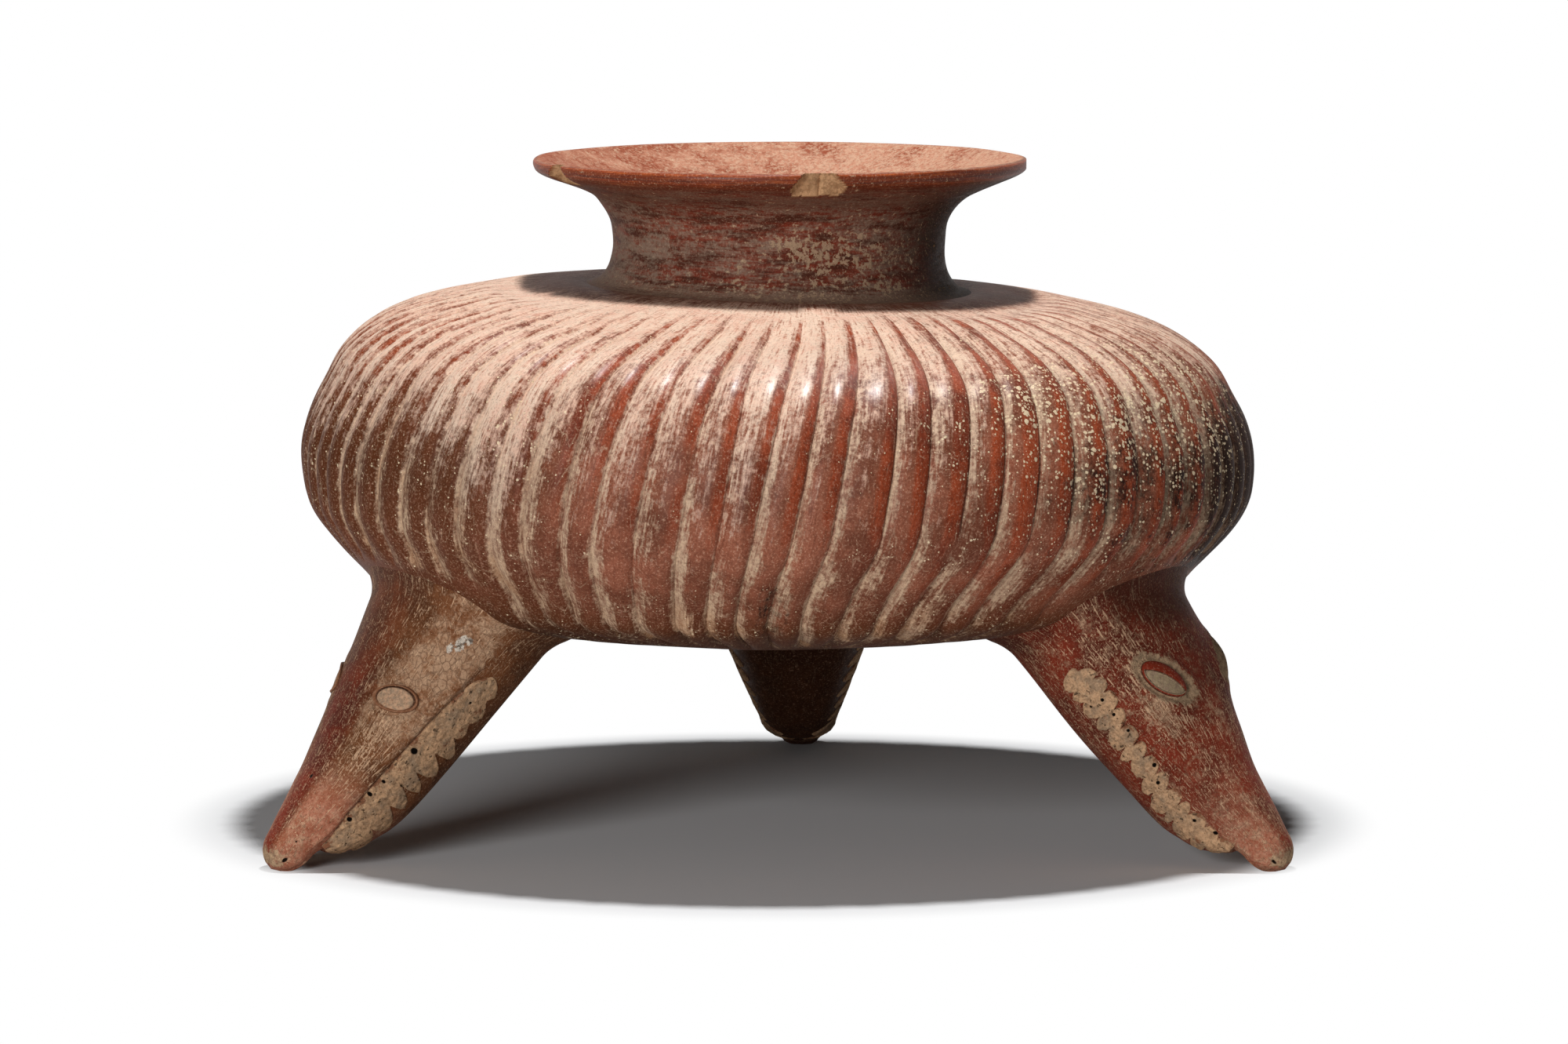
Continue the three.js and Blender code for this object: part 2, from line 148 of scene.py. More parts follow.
def spline(points, t):
    """Uniform Catmull-Rom curve through points, its ends doubled, at t from 0 to 1."""
    points = np.asarray(points, float)
    last = len(points) - 1
    place = np.clip(np.asarray(t, float), 0, 1) * last
    i = np.minimum(np.floor(place).astype(int), last - 1)
    w = (place - i)[..., None]
    before, start = points[np.maximum(i - 1, 0)], points[i]
    end, after = points[np.minimum(i + 1, last)], points[np.minimum(i + 2, last)]
    leave, arrive = (end - before) / 2, (after - start) / 2
    return (
        (2 * start - 2 * end + leave + arrive) * w**3
        + (3 * end - 3 * start - 2 * leave - arrive) * w**2
        + leave * w
        + start
    )


def ripple(seed, turn, level, waves, most, stretch):
    """Seeded smooth noise, about -1 to 1: a sum of sines with whole numbers of waves round the turn (in
    radians), up to most, and up to stretch waves per unit of level."""
    rng = np.random.default_rng(seed)
    total = 0.0
    for _ in range(waves):
        count = rng.integers(1, most + 1)
        slope = rng.uniform(-stretch, stretch) * 2 * math.pi
        phase = rng.uniform(0, 2 * math.pi)
        total = total + np.sin(count * turn + slope * level + phase)
    return total / math.sqrt(waves)


def about_axis(radius, azimuth, height):
    """Points at a radius and a height about the pot's axis."""
    place = (radius * np.cos(azimuth), radius * np.sin(azimuth), height)
    return np.stack(np.broadcast_arrays(*place), -1)


# Outline of the body: dense points, their share of its length, and the slope there
_dense = spline(BODY_SHARES * (BODY_RADIUS, BODY_HEIGHT), np.linspace(0, 1, CURVE_STEPS))
_lengths = np.r_[0, np.cumsum(np.hypot(*np.diff(_dense, axis=0).T))]
OUTLINE_LENGTH = _lengths[-1]
_shares = _lengths / OUTLINE_LENGTH
_slope = np.gradient(_dense, _lengths, axis=0)
_slope /= np.linalg.norm(_slope, axis=1)[:, None]


def outline(share, inset=0.0):
    """Radius and height above the underside of the body's outline at a share of its length, moved inwards
    by inset, square to the curve."""
    place = [np.interp(share, _shares, _dense[:, k]) for k in (0, 1)]
    slope = [np.interp(share, _shares, _slope[:, k]) for k in (0, 1)]
    radius = np.maximum(place[0] - slope[1] * inset, 0)
    return radius, place[1] + slope[0] * inset


def share_at(height, inset):
    """Share of the outline at which its copy moved inwards by inset reaches a height."""
    shares = np.linspace(RIB_FADE[0], RIB_FADE[3], CURVE_STEPS)
    return float(np.interp(height, outline(shares, inset)[1], shares))


def settle(points):
    """The shoulder leans: points drop by tan(lean) times x, more and more above the widest level, and less
    and less up the neck, whose rim is level."""
    height = points[..., 2] - STAND_HEIGHT
    widest = BODY_HEIGHT * WIDEST_SHARE
    share = span(widest, widest + LEAN_RUN, BODY_HEIGHT, BODY_HEIGHT + NECK_HEIGHT, height)
    points[..., 2] -= math.tan(LEAN) * points[..., 0] * share
    return points


# Meshes

def shell(rings, poles=None):
    """Vertices and faces of a closed surface from a grid of rings, rows by columns by 3, each ring going
    counter-clockwise about the direction from the first ring to the last. Its ends close on two poles,
    or, without them, the last ring is joined to the first."""
    rows, columns = rings.shape[:2]
    points = rings.reshape(-1, 3)
    across = np.arange(columns)
    beside = (across + 1) % columns
    low = np.arange(rows if poles is None else rows - 1)[:, None]
    high = (low + 1) % rows * columns
    low = low * columns
    quads = np.stack([low + across, low + beside, high + beside, high + across], -1)
    faces = quads.reshape(-1, 4).tolist()
    if poles is not None:
        top = (rows - 1) * columns
        first, last = np.full((2, columns), len(points)) + [[0], [1]]
        faces += np.stack([beside, across, first], -1).tolist()
        faces += np.stack([top + across, top + beside, last], -1).tolist()
        points = np.vstack([points, *poles])
    return points, faces


def grow(fields, before=0, after=0, axis=0):
    """Masks with their first and last rows (axis 0) or columns (axis 1) repeated."""
    grown = {}
    for key, values in fields.items():
        widths = [(0, 0)] * values.ndim
        widths[axis] = (before, after)
        grown[key] = np.pad(values, widths, mode="edge")
    return grown


def piece(node, mesh, material, fields, sharp=50):
    """A Blender object from vertices and faces in millimetres, standing for a CAD node. Fields are one
    number or vector per grid point, and poles repeat its first and last. Sharp is the angle in degrees
    above which an edge stays sharp."""
    points, faces = mesh
    name = node + "_clay"
    data = bpy.data.meshes.new(name)
    data.from_pydata((points * MM + AXIS).tolist(), [], faces)
    for key, values in fields.items():
        vector = values.ndim > 2
        values = np.asarray(values, np.float32).reshape((-1, 3) if vector else -1)
        if len(points) > len(values):
            values = np.concatenate([values, values[:1], values[-1:]])
        layer = data.attributes.new(key, "FLOAT_VECTOR" if vector else "FLOAT", "POINT")
        layer.data.foreach_set("vector" if vector else "value", values.ravel())
    data.polygons.foreach_set("use_smooth", np.ones(len(faces), bool))
    data.set_sharp_from_angle(angle=math.radians(sharp))
    data.materials.append(material)
    data.validate()
    obj = bpy.data.objects.new(name, data)
    bpy.context.scene.collection.objects.link(obj)
    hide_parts(node)
    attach(obj, "root")


# Shader maths

class Value:
    """A socket in a material. Sums and products of it add Math nodes."""

    def __init__(self, graph, socket):
        self.graph, self.socket = graph, socket

    def math(self, operation, other):
        """The result of a Math node on this socket and another one or a number."""
        return self.graph.node("ShaderNodeMath", {"operation": operation}, {0: self, 1: other})

    def __add__(self, other):
        return self.math("ADD", other)

    def __sub__(self, other):
        return self.math("SUBTRACT", other)

    def __rsub__(self, other):
        return self * -1 + other

    def __mul__(self, other):
        return self.math("MULTIPLY", other)

    __radd__ = __add__
    __rmul__ = __mul__

    def least(self, other):
        """The smaller of the two."""
        return self.math("MINIMUM", other)

    def most(self, other):
        """The larger of the two."""
        return self.math("MAXIMUM", other)

    def step(self, start, end):
        """Smooth step from 0 at start to 1 at end."""
        settings = {"interpolation_type": "SMOOTHSTEP"}
        inputs = {"Value": self, "From Min": start, "From Max": end}
        return self.graph.node("ShaderNodeMapRange", settings, inputs)


def pick(sockets, key):
    """A socket by its number, its name, or its identifier, since a Mix node has several of one name."""
    if isinstance(key, int):
        return sockets[key]
    return next(socket for socket in sockets if key in (socket.identifier, socket.name))


def paint(red, green, blue):
    """Linear colour from the usual 0 to 255 values."""
    values = [c / 255 for c in (red, green, blue)]
    return tuple(c / 12.92 if c <= 0.04045 else ((c + 0.055) / 1.055) ** 2.4 for c in values) + (1.0,)


class Graph:
    """The node tree of one material or world."""

    def __init__(self, owner):
        self.owner = owner
        owner.use_nodes = True
        self.tree = owner.node_tree
        self.tree.nodes.clear()

    def node(self, kind, settings, inputs, output=0):
        """Adds a node, makes its settings, sets or links its inputs and returns one output."""
        node = self.tree.nodes.new(kind)
        for key, value in settings.items():
            setattr(node, key, value)
        for key, value in inputs.items():
            socket = pick(node.inputs, key)
            if isinstance(value, Value):
                self.tree.links.new(value.socket, socket)
            else:
                socket.default_value = value
        return Value(self, pick(node.outputs, output)) if node.outputs else None

    def mix(self, factor, first, second):
        """Colour between two colours, each a value or the 0 to 255 numbers of a paint."""
        first, second = (c if isinstance(c, Value) else paint(*c) for c in (first, second))
        inputs = {"Factor_Float": factor, "A_Color": first, "B_Color": second}
        return self.node("ShaderNodeMix", {"data_type": "RGBA"}, inputs, "Result_Color")

    def attribute(self, name, output="Fac"):
        """A mask of the mesh, or as its Vector output a direction."""
        return self.node("ShaderNodeAttribute", {"attribute_name": name}, {}, output)

    def attributes(self, names):
        """Several masks, named in one string."""
        return [self.attribute(name) for name in names.split()]

    def place(self):
        """The point that is shaded, in the object's own frame, in metres."""
        return self.node("ShaderNodeTexCoord", {}, {}, "Object")

    def flow(self):
        """Vector that runs along the potter's strokes: two numbers across and one along."""
        return self.attribute("flow", "Vector")

    def vector(self, operation, first, second):
        """The vector that a Vector Math node makes of two."""
        return self.node("ShaderNodeVectorMath", {"operation": operation}, {0: first, 1: second})

    def noise(self, vector, scale, detail, roughness, stretch=None):
        """Noise about 0, from some -0.5 to 0.5. Stretch scales the vector first, along each axis."""
        if stretch:
            vector = self.vector("MULTIPLY", vector, stretch)
        inputs = {"Vector": vector, "Scale": scale, "Detail": detail, "Roughness": roughness}
        return self.node("ShaderNodeTexNoise", {}, inputs) - 0.5

    def cells(self, vector, scale, output, feature="F1"):
        """One output of a Voronoi pattern: the distance from a cell's middle or edge, or its colour."""
        inputs = {"Vector": vector, "Scale": scale, "Randomness": 1.0}
        return self.node("ShaderNodeTexVoronoi", {"feature": feature}, inputs, output)

    def crumbs(self, vector, scale, amount, rough):
        """Round spots of uneven size, one in each cell: more and larger ones as amount nears 1."""
        distance, colour = (self.cells(vector, scale, output) for output in ("Distance", "Color"))
        chance = self.node("ShaderNodeSeparateColor", {}, {0: colour})
        return ((chance + amount - 1) * 0.62 - distance + rough * 0.6).step(0.0, 0.06)

    def hairlines(self, place, stretch, scale, width):
        """Thin crooked lines, as of fine scratches that cross each other."""
        place = self.vector("MULTIPLY", place, stretch)
        bent = self.noise(place, scale * 1.5, 2.0, 0.5) + 0.5
        shifted = self.vector("ADD", place, bent * (0.6 / scale))
        return self.cells(shifted, scale, "Distance", "DISTANCE_TO_EDGE").step(width, width * 0.4)

    def grained(self, place, colour, grains, shown=1.0):
        """Sandy grain over a colour: fine specks of a dark paint, and of a light one as far as shown."""
        grain = self.noise(place, 1300.0, 3.0, 0.75)
        colour = self.mix(grain.step(0.0, -0.22) * 0.5, colour, grains[0])
        return self.mix(grain.step(0.02, 0.24) * shown * 0.42, colour, grains[1]), grain

    def background_rays(self):
        """1 for the rays that see the white background: straight, mirrored or refracted ones."""
        kinds = ("Is Camera Ray", "Is Glossy Ray", "Is Transmission Ray")
        seen, *others = (self.node("ShaderNodeLightPath", {}, {}, kind) for kind in kinds)
        for other in others:
            seen = seen.most(other)
        return seen

    def output(self, shader, kind="ShaderNodeOutputMaterial"):
        """Links the surface shader to the tree's output and returns the material or world."""
        self.node(kind, {}, {"Surface": shader})
        return self.owner

    def finish(self, colour, roughness, height, strength, coat=0.0):
        """Principled shader and bump from a colour, a roughness, a height and a burnished coat."""
        relief = {"Height": height, "Strength": strength, "Distance": BUMP_DEPTH}
        normal = self.node("ShaderNodeBump", {}, relief)
        return self.output(self.node("ShaderNodeBsdfPrincipled", {}, {
            "Base Color": colour, "Roughness": roughness.least(ROUGHEST), "Normal": normal,
            "Specular IOR Level": GLOSS, "Coat Weight": coat, "Coat Roughness": COAT_ROUGHNESS,
        }))


BUMP_DEPTH = 0.0004
ROUGHEST = 0.95
GLOSS = 0.02
COAT_ROUGHNESS = 0.36

# Paints of the ribbed body
RED = (156, 68, 38)
DEEP_RED = (108, 44, 25)
DULL_RED = (142, 84, 63)
UMBER = (104, 58, 41)
BURNT = (92, 44, 30)
BROWN = (86, 46, 25)
EARTH = (66, 36, 18)
ROSE = (168, 108, 88)
FILM = (222, 196, 174)
FILM_PINK = (208, 158, 138)
FILM_RUST = (180, 110, 86)
SILT = (150, 116, 94)
SILT_OCHRE = (176, 124, 82)
BUFF = (194, 165, 136)
# Painted shade and soot: the dark line at the steep side of each groove
GROOVE_SHADE_AND_SOOT = (58, 32, 22)
# Soot of the fire clouds, also painted shade down the right side of the body and neck
SOOT_AND_SHADE = (20, 14, 11)
CREAM = (226, 204, 170)

# Paints of the neck
NECK_DARK = (76, 40, 29)
NECK_RED = (126, 52, 36)
NECK_DUST = (134, 114, 98)
FOOT_DUST = (128, 102, 84)
LIP_DARK = (118, 42, 14)
LIP_BRIGHT = (164, 78, 32)
# Painted shade under the rim and on the front of the lip
RIM_SHADE = (82, 36, 20)
MOUTH_RED = (140, 72, 50)
MOUTH_ROSE = (178, 126, 102)
MOUTH_PALE = (194, 162, 136)
PEELED = (172, 144, 116)
CHIP_DARK = (150, 116, 84)
CHIP_LIGHT = (192, 154, 116)

# Paints of the heads
HEAD_REDS = ((118, 44, 28), (82, 31, 21))
HEAD_BROWNS = ((114, 70, 43), (82, 48, 28))
SNOUT_ROSES = ((150, 86, 64), (182, 124, 100))
TANS = ((154, 112, 82), (186, 150, 120))
CHALKS = ((92, 86, 78), (212, 202, 188))
WORN_CLAYS = ((136, 114, 90), (182, 152, 120))
CRACK = (82, 52, 36)
SCRATCH = (210, 172, 138)
# Painted shade, with soot at the right head's root, at the roots, under the jaws and over the rear head
HEAD_SHADE_AND_SOOT = (50, 24, 14)
# Painted shade in the holes of a head
HOLE_SHADE = (20, 12, 8)

# Paints of teeth and eyes
TEETH_CLAYS = ((150, 118, 90), (194, 154, 118))
TEETH_DIRT = (126, 108, 90)
TEETH_SLIP = (116, 68, 46)
# Painted shade in the pits where grit fell out, and in the round pits
GRIT_HOLE_SHADE = (56, 42, 32)
PIT_SHADE = (12, 8, 6)
EYE_GREY = (148, 124, 102)
# Painted shade in the eyes' grooves and round their outline
EYE_GROOVE_SHADE = (58, 34, 24)

# Dark and light grain of each finish
BODY_GRAINS = ((58, 34, 24), (224, 184, 154))
NECK_GRAINS = ((60, 38, 30), (196, 164, 140))
HEAD_GRAINS = ((60, 34, 24), (206, 168, 138))
TEETH_GRAINS = ((84, 66, 50), (214, 188, 154))
EYE_GRAINS = ((60, 40, 30), (206, 176, 146))


def ribbed_slip():
    """Red on the crests, dull on the flanks, a pale film on the shoulder, a mottled deposit in the grooves
    with a dark line of painted shade and soot at its steep side, cream flecks, fire clouds with painted shade
    down the right side, and a painted shadow of the rim on the shoulder."""
    g = Graph(bpy.data.materials.new("ribbed_slip"))
    place, flow = g.place(), g.flow()
    groove, crest, edge, haze = g.attributes("groove crest edge haze")
    cloud, fleck, brown, gloss = g.attributes("cloud fleck brown gloss")
    streak = g.noise(flow, 900.0, 4.0, 0.65, (1.0, 1.0, 0.12))
    patch = g.noise(place, 42.0, 4.0, 0.6)
    mottle = g.noise(place, 230.0, 5.0, 0.7)
    fine = g.noise(place, 620.0, 3.0, 0.7)
    grit = g.noise(place, 1400.0, 2.0, 0.6)
    bright = g.mix((patch + mottle * 0.5).step(-0.14, 0.14), RED, DEEP_RED)
    dull = g.mix((patch + streak * 0.5).step(-0.14, 0.08), DULL_RED, UMBER)
    redder = crest + mottle * 1.2 + streak * 0.9 + patch * 0.9
    slip = g.mix(redder.step(0.2, 0.9), dull, bright)
    slip = g.mix((streak + fine * 0.4).step(0.0, -0.18) * 0.5, slip, BURNT)
    # Browner at the left, painted shadow of the rim on the shoulder, and darker low down and round the left
    # leg
    browner = brown + mottle * 0.7
    slip = g.mix((browner + streak * 0.4).step(0.0, 1.0) * 0.92, slip, BROWN)
    rosy = (streak + haze * 0.12 + fine * 0.3).step(0.02, 0.28)
    slip = g.mix(rosy * (0.45 - crest * 0.25), slip, ROSE)
    slip = g.mix((browner + streak * 0.6).step(0.75, 1.4) * 0.75, slip, EARTH)

    film = haze * 0.98 + mottle * 1.4 + fine * 0.9 + streak * 1.5 - crest * 0.6 - edge * 0.2
    tone = g.mix((mottle * 0.6 + patch * 0.4).step(-0.08, 0.10) * 0.6, FILM, FILM_PINK)
    tone = g.mix((streak * 0.6 + fine * 0.4).step(0.0, -0.14) * 0.65, tone, FILM_RUST)
    colour = g.mix(film.step(0.2, 1.02) * 0.94, slip, tone)

    silt = groove + mottle * 1.4 + fine * 1.2 + patch * 0.9 + streak * 1.7
    silt = silt.step(0.26, 1.18)
    tone = g.mix((fine * 0.45 + streak * 0.55).step(-0.10, 0.10), SILT, BUFF)
    tone = g.mix(patch.step(-0.02, 0.16) * brown * 0.6, tone, SILT_OCHRE)
    tone = g.mix(haze * 0.85, tone, FILM)
    colour = g.mix(silt * 0.9, colour, tone)
    # Painted shade, with some soot, as a dark line at each groove's steep side
    line = (edge + mottle * 1.1 + fine * 0.6).step(0.3, 1.1)
    colour = g.mix(line * (0.66 - haze * 0.5), colour, GROOVE_SHADE_AND_SOOT)

    # Soot of the fire clouds, with painted shade down the right side and along the steep groove sides
    stain_and_shade = cloud * 0.9 + mottle * 1.8 + patch * 0.9 + streak * 0.9 + edge * 0.45
    stain_and_shade = stain_and_shade.step(0.46, 0.95) * cloud.step(0.0, 0.25)
    colour = g.mix(stain_and_shade * (0.92 - silt * 0.42), colour, SOOT_AND_SHADE)
    amount = fleck * 0.66 + patch * 1.1 + mottle * 1.1 + crest * 0.08
    large = g.crumbs(place, 400.0, amount - 0.12, fine)
    crumbs = large.most(g.crumbs(place, 850.0, amount + 0.10, grit))
    colour = g.mix(crumbs * 0.9, colour, CREAM)
    lines = g.hairlines(place, (1.0, 1.0, 0.55), 110.0, 0.025)
    colour = g.mix(lines * (mottle + patch * 0.5).step(-0.03, 0.13) * 0.3, colour, BUFF)
    colour, grain = g.grained(place, colour, BODY_GRAINS, 1 - stain_and_shade * 0.8)

    roughness = 0.48 + silt * 0.3 + crumbs * 0.3 + fine * 0.12
    coat = gloss * (0.8 + streak + fine * 0.6) * (0.95 - silt * 0.4)
    height = silt * 0.3 + crumbs * 0.6 + grain * 0.5 + streak * 0.3 + mottle * 0.4
    return g.finish(colour, roughness, height, 0.5, coat)


def neck_slip():
    """Dark red slip burnished in level strokes, greyish film, a worn flaky patch in front, a redder lip, a
    mottled pink inside, painted shade under the rim and on the front of the lip, and soot with painted shade
    at the right."""
    g = Graph(bpy.data.materials.new("neck_slip"))
    place, flow = g.place(), g.flow()
    lip, inside, flake, broken = g.attributes("lip inside flake broken")
    foot, pale, under, cloud = g.attributes("foot pale under cloud")
    streak = g.noise(flow, 420.0, 5.0, 0.65)
    thin = g.noise(flow, 1300.0, 4.0, 0.65)
    patch = g.noise(flow, 110.0, 3.0, 0.6)
    mottle = g.noise(place, 260.0, 5.0, 0.7)
    fine = g.noise(place, 620.0, 3.0, 0.7)
    broad = g.noise(place, 75.0, 4.0, 0.6)
    slip = g.mix(streak.step(-0.12, 0.10), NECK_DARK, NECK_RED)
    dusty = (streak * 0.4 + thin * 0.6 + patch * 0.5 + fine * 0.4 + foot * 0.1).step(-0.11, 0.13)
    slip = g.mix(dusty * 0.9, slip, NECK_DUST)
    slip = g.mix((foot + thin * 1.6 + mottle).step(0.5, 1.3) * 0.7, slip, FOOT_DUST)
    slip = g.mix(lip, slip, g.mix(thin.step(-0.08, 0.12), LIP_DARK, LIP_BRIGHT))
    # Painted shade under the rim and on the front of the lip
    slip = g.mix(under * (streak.step(-0.16, 0.12) * 0.7 + 0.3), slip, RIM_SHADE)
    worn = (mottle * 0.55 + broad * 0.75 + patch * 0.2 + pale * 0.12).step(-0.08, 0.17)
    within = g.mix(worn, MOUTH_RED, MOUTH_ROSE)
    within = g.mix((fine + pale * 0.10).step(0.0, 0.2) * 0.6, within, MOUTH_PALE)
    slip = g.mix(inside, slip, within)
    # Soot and painted shade down the right side of the neck
    slip = g.mix((cloud + streak * 0.8).step(0.1, 0.9) * 0.85, slip, SOOT_AND_SHADE)
    peel = (flake + streak * 1.1 + mottle * 1.1 + fine * 2.6).step(0.60, 0.68)
    colour = g.mix(peel * 0.85, slip, PEELED)
    crumbs = (fine * 0.8 + thin * 0.3).step(0.17, 0.21) * (1 - lip * 0.7)
    colour = g.mix(crumbs * 0.7, colour, CREAM)
    colour, grain = g.grained(place, colour, NECK_GRAINS)
    clay = g.mix((fine * 0.5 + mottle * 0.5).step(-0.10, 0.10), CHIP_DARK, CHIP_LIGHT)
    colour = g.mix(broken, colour, clay)
    roughness = 0.47 + peel * 0.3 + dusty * 0.15 + inside * 0.1 + mottle * 0.1 + broken * 0.4
    height = peel * 0.4 + grain * 0.4 + streak * 0.5 + crumbs * 0.3 + broken * (mottle + 0.5) * 3
    return g.finish(colour, roughness, height, 0.6, lip * (1 - broken) * 0.3)


def head_slip(name, worn):
    """Slip on a head: brown with a tan film where it is worn, red where not, with short scratches, painted
    shade with some soot in its dark places, and painted shade in its holes.
    """
    g = Graph(bpy.data.materials.new(name))
    place, flow = g.place(), g.flow()
    bare, dusty, deep, snout, crown = g.attributes("bare dusty deep snout crown")
    scrape, holes, chalk = g.attributes("scrape holes chalk")
    scratch = g.noise(flow, 2100.0, 3.0, 0.6, (1.0, 1.0, 0.11))
    stray = g.noise(place, 2000.0, 3.0, 0.6, (1.0, 0.35, 0.6))
    streak = g.noise(flow, 300.0, 4.0, 0.6, (1.0, 1.0, 0.15))
    mottle = g.noise(place, 260.0, 5.0, 0.7)
    fine = g.noise(place, 620.0, 3.0, 0.7)
    patch = g.noise(place, 60.0, 4.0, 0.6)
    red = g.mix(patch.step(-0.15, 0.15), *HEAD_REDS)
    brown = g.mix((patch + mottle * 0.5).step(-0.15, 0.15), *HEAD_BROWNS)
    slip = g.mix((1 - crown) * worn, red, brown)
    slip = g.mix(snout, slip, g.mix(mottle.step(-0.15, 0.15), *SNOUT_ROSES))
    film = dusty * 1.15 + mottle * 1.4 + fine * 1.6 + streak * 1.1 + patch * (0.4 + worn)
    film = film.step(0.25, 1.0)
    colour = g.mix(film * 0.85, slip, g.mix(mottle.step(-0.15, 0.10), *TANS))
    cracks = g.hairlines(place, (1.0, 1.0, 0.7), 520.0, 0.09)
    cracks = cracks * (fine * 0.7 + mottle * 0.6 + dusty * 0.2).step(0.01, 0.21)
    colour = g.mix(cracks * 0.5, colour, CRACK)
    lines = (scratch.most(stray - 0.01) + patch * 0.14 + scrape * 0.085).step(0.12, 0.17)
    colour = g.mix(lines * 0.75, colour, SCRATCH)
    chalky = (chalk + mottle * 0.9 + fine * 0.9).step(0.45, 0.7)
    colour = g.mix(chalky * 0.9, colour, g.mix(fine.step(-0.08, 0.06), *CHALKS))
    raw = (bare + mottle * 0.7 + fine * 0.5).step(0.40, 0.60)
    colour = g.mix(raw * 0.9, colour, g.mix(fine.step(-0.14, 0.12), *WORN_CLAYS))
    # Painted shade, with some soot, at the roots, under the jaws and over the rear head
    colour = g.mix((deep + mottle * 0.5 + streak * 0.4).step(0.1, 0.9) * 0.8, colour, HEAD_SHADE_AND_SOOT)
    colour, grain = g.grained(place, colour, HEAD_GRAINS, 0.65 + 0.35 * worn)
    # Painted shade in the holes
    colour = g.mix((holes + fine * 0.4).step(0.35, 0.75), colour, HOLE_SHADE)
    roughness = 0.47 + film * 0.16 + raw * 0.4 + lines * 0.2 + mottle * 0.1
    height = raw * 0.2 + grain * 0.6 + lines * 0.6 + film * 0.4 + mottle * 0.6 - holes * 2 - cracks * 0.6
    return g.finish(colour, roughness, height, 0.65)


def bare_clay():
    """Unslipped buff clay, sandy and pitted, with painted shade in the pits where grit fell out and in its
    round pits, and traces of slip.
    """
    g = Graph(bpy.data.materials.new("bare_clay"))
    place = g.place()
    pit, trace = g.attributes("pit trace")
    mottle = g.noise(place, 280.0, 4.0, 0.65)
    fine = g.noise(place, 620.0, 3.0, 0.7)
    patch = g.noise(place, 120.0, 3.0, 0.6)
    holes = g.noise(place, 700.0, 2.0, 0.5).step(-0.13, -0.20)
    colour = g.mix(fine.step(-0.15, 0.12), *TEETH_CLAYS)
    colour = g.mix((patch + mottle * 0.6).step(-0.04, 0.18) * 0.6, colour, TEETH_DIRT)
    slip = (trace + mottle * 1.6 + fine * 0.6).step(0.45, 0.65)
    colour = g.mix(slip * 0.85, colour, TEETH_SLIP)
    # Painted shade in the pits where grit fell out
    colour = g.mix(holes * 0.8, colour, GRIT_HOLE_SHADE)
    colour, grain = g.grained(place, colour, TEETH_GRAINS)
    # Painted shade in the round pits
    colour = g.mix(pit.step(0.35, 0.75), colour, PIT_SHADE)
    height = grain * 0.8 - holes * 0.8 + mottle * 0.5 + slip * 0.2
    return g.finish(colour, 0.9 - slip * 0.3, height, 0.7)


def eye_clay(name, lid_paint, pad_paint):
    """Matt clay of the eyes, with a slipped lid and painted shade in its grooves."""
    g = Graph(bpy.data.materials.new(name))
    place = g.place()
    lid, rim = g.attributes("lid rim")
    mottle = g.noise(place, 300.0, 4.0, 0.65)
    fine = g.noise(place, 620.0, 3.0, 0.7)
    colour = g.mix(fine.step(-0.14, 0.12), EYE_GREY, pad_paint)
    colour = g.mix((lid + mottle * 0.5 + fine * 0.3).step(0.35, 0.6), colour, lid_paint)
    # Painted shade in the grooves and round the outline
    colour = g.mix((rim + mottle * 0.4).step(0.3, 0.9) * 0.85, colour, EYE_GROOVE_SHADE)
    colour, grain = g.grained(place, colour, EYE_GRAINS)
    return g.finish(colour, 0.8 - lid * 0.35, grain * 0.6 + mottle * 0.4, 0.6)


RIBBED = ribbed_slip()
NECK = neck_slip()
BARE = bare_clay()

# Finishes of a head and its eyes, for the brown heads and the red one with lidded eyes
HEADS = {False: head_slip("head_slip_brown", 1.0), True: head_slip("head_slip_red", 0.0)}
EYES = {
    False: eye_clay("eye_clay_brown", (136, 92, 66), (184, 146, 116)),
    True: eye_clay("eye_clay_red", (122, 42, 26), (160, 140, 110)),
}


# Heads: shape

def head_curve(size, shares):
    """Function of the distance from the snout tip: a size times a smooth curve through a head's shares."""
    table = spline(np.stack([STATIONS, shares], -1), np.linspace(0, 1, HEAD_CURVE_STEPS))
    return lambda station: size * np.interp(np.clip(station / HEAD_LENGTH, 0, 1), table[:, 0], table[:, 1])


head_rise = head_curve(HEAD_RISE, RISES)
head_drop = head_curve(HEAD_DROP, DROPS)
head_width = head_curve(HEAD_WIDTH, WIDTHS)


def head_skin(station, angle):
    """Skin of a head in its own frame: a superellipse of power 2.2 across, whose half width, rise and drop
    change along the length, closed at the snout by a round cap. Angle 0 is the crown, pi the throat."""
    station, angle = np.broadcast_arrays(np.asarray(station, float), np.asarray(angle, float))
    cap = np.sqrt(1 - (1 - np.clip(station / SNOUT_RADIUS, 0, 1)) ** 2)
    side, up = np.sin(angle), np.cos(angle)
    height = np.where(up > 0, head_rise(station), head_drop(station))
    power = 2 / SECTION_POWER
    x = cap * head_width(station) * np.sign(side) * np.abs(side) ** power
    y = cap * height * np.sign(up) * np.abs(up) ** power
    return np.stack([x, y, station], -1)


def head_normal(station, angle):
    """Outward normal of that skin, from its slopes along and round the head."""
    step, turn = HEAD_LENGTH * 0.001, 0.001
    along = head_skin(station + step, angle) - head_skin(station - step, angle)
    around = head_skin(station, angle + turn) - head_skin(station, angle - turn)
    normal = np.cross(along, around)
    return normal / np.maximum(np.linalg.norm(normal, axis=-1, keepdims=True), 1e-9)


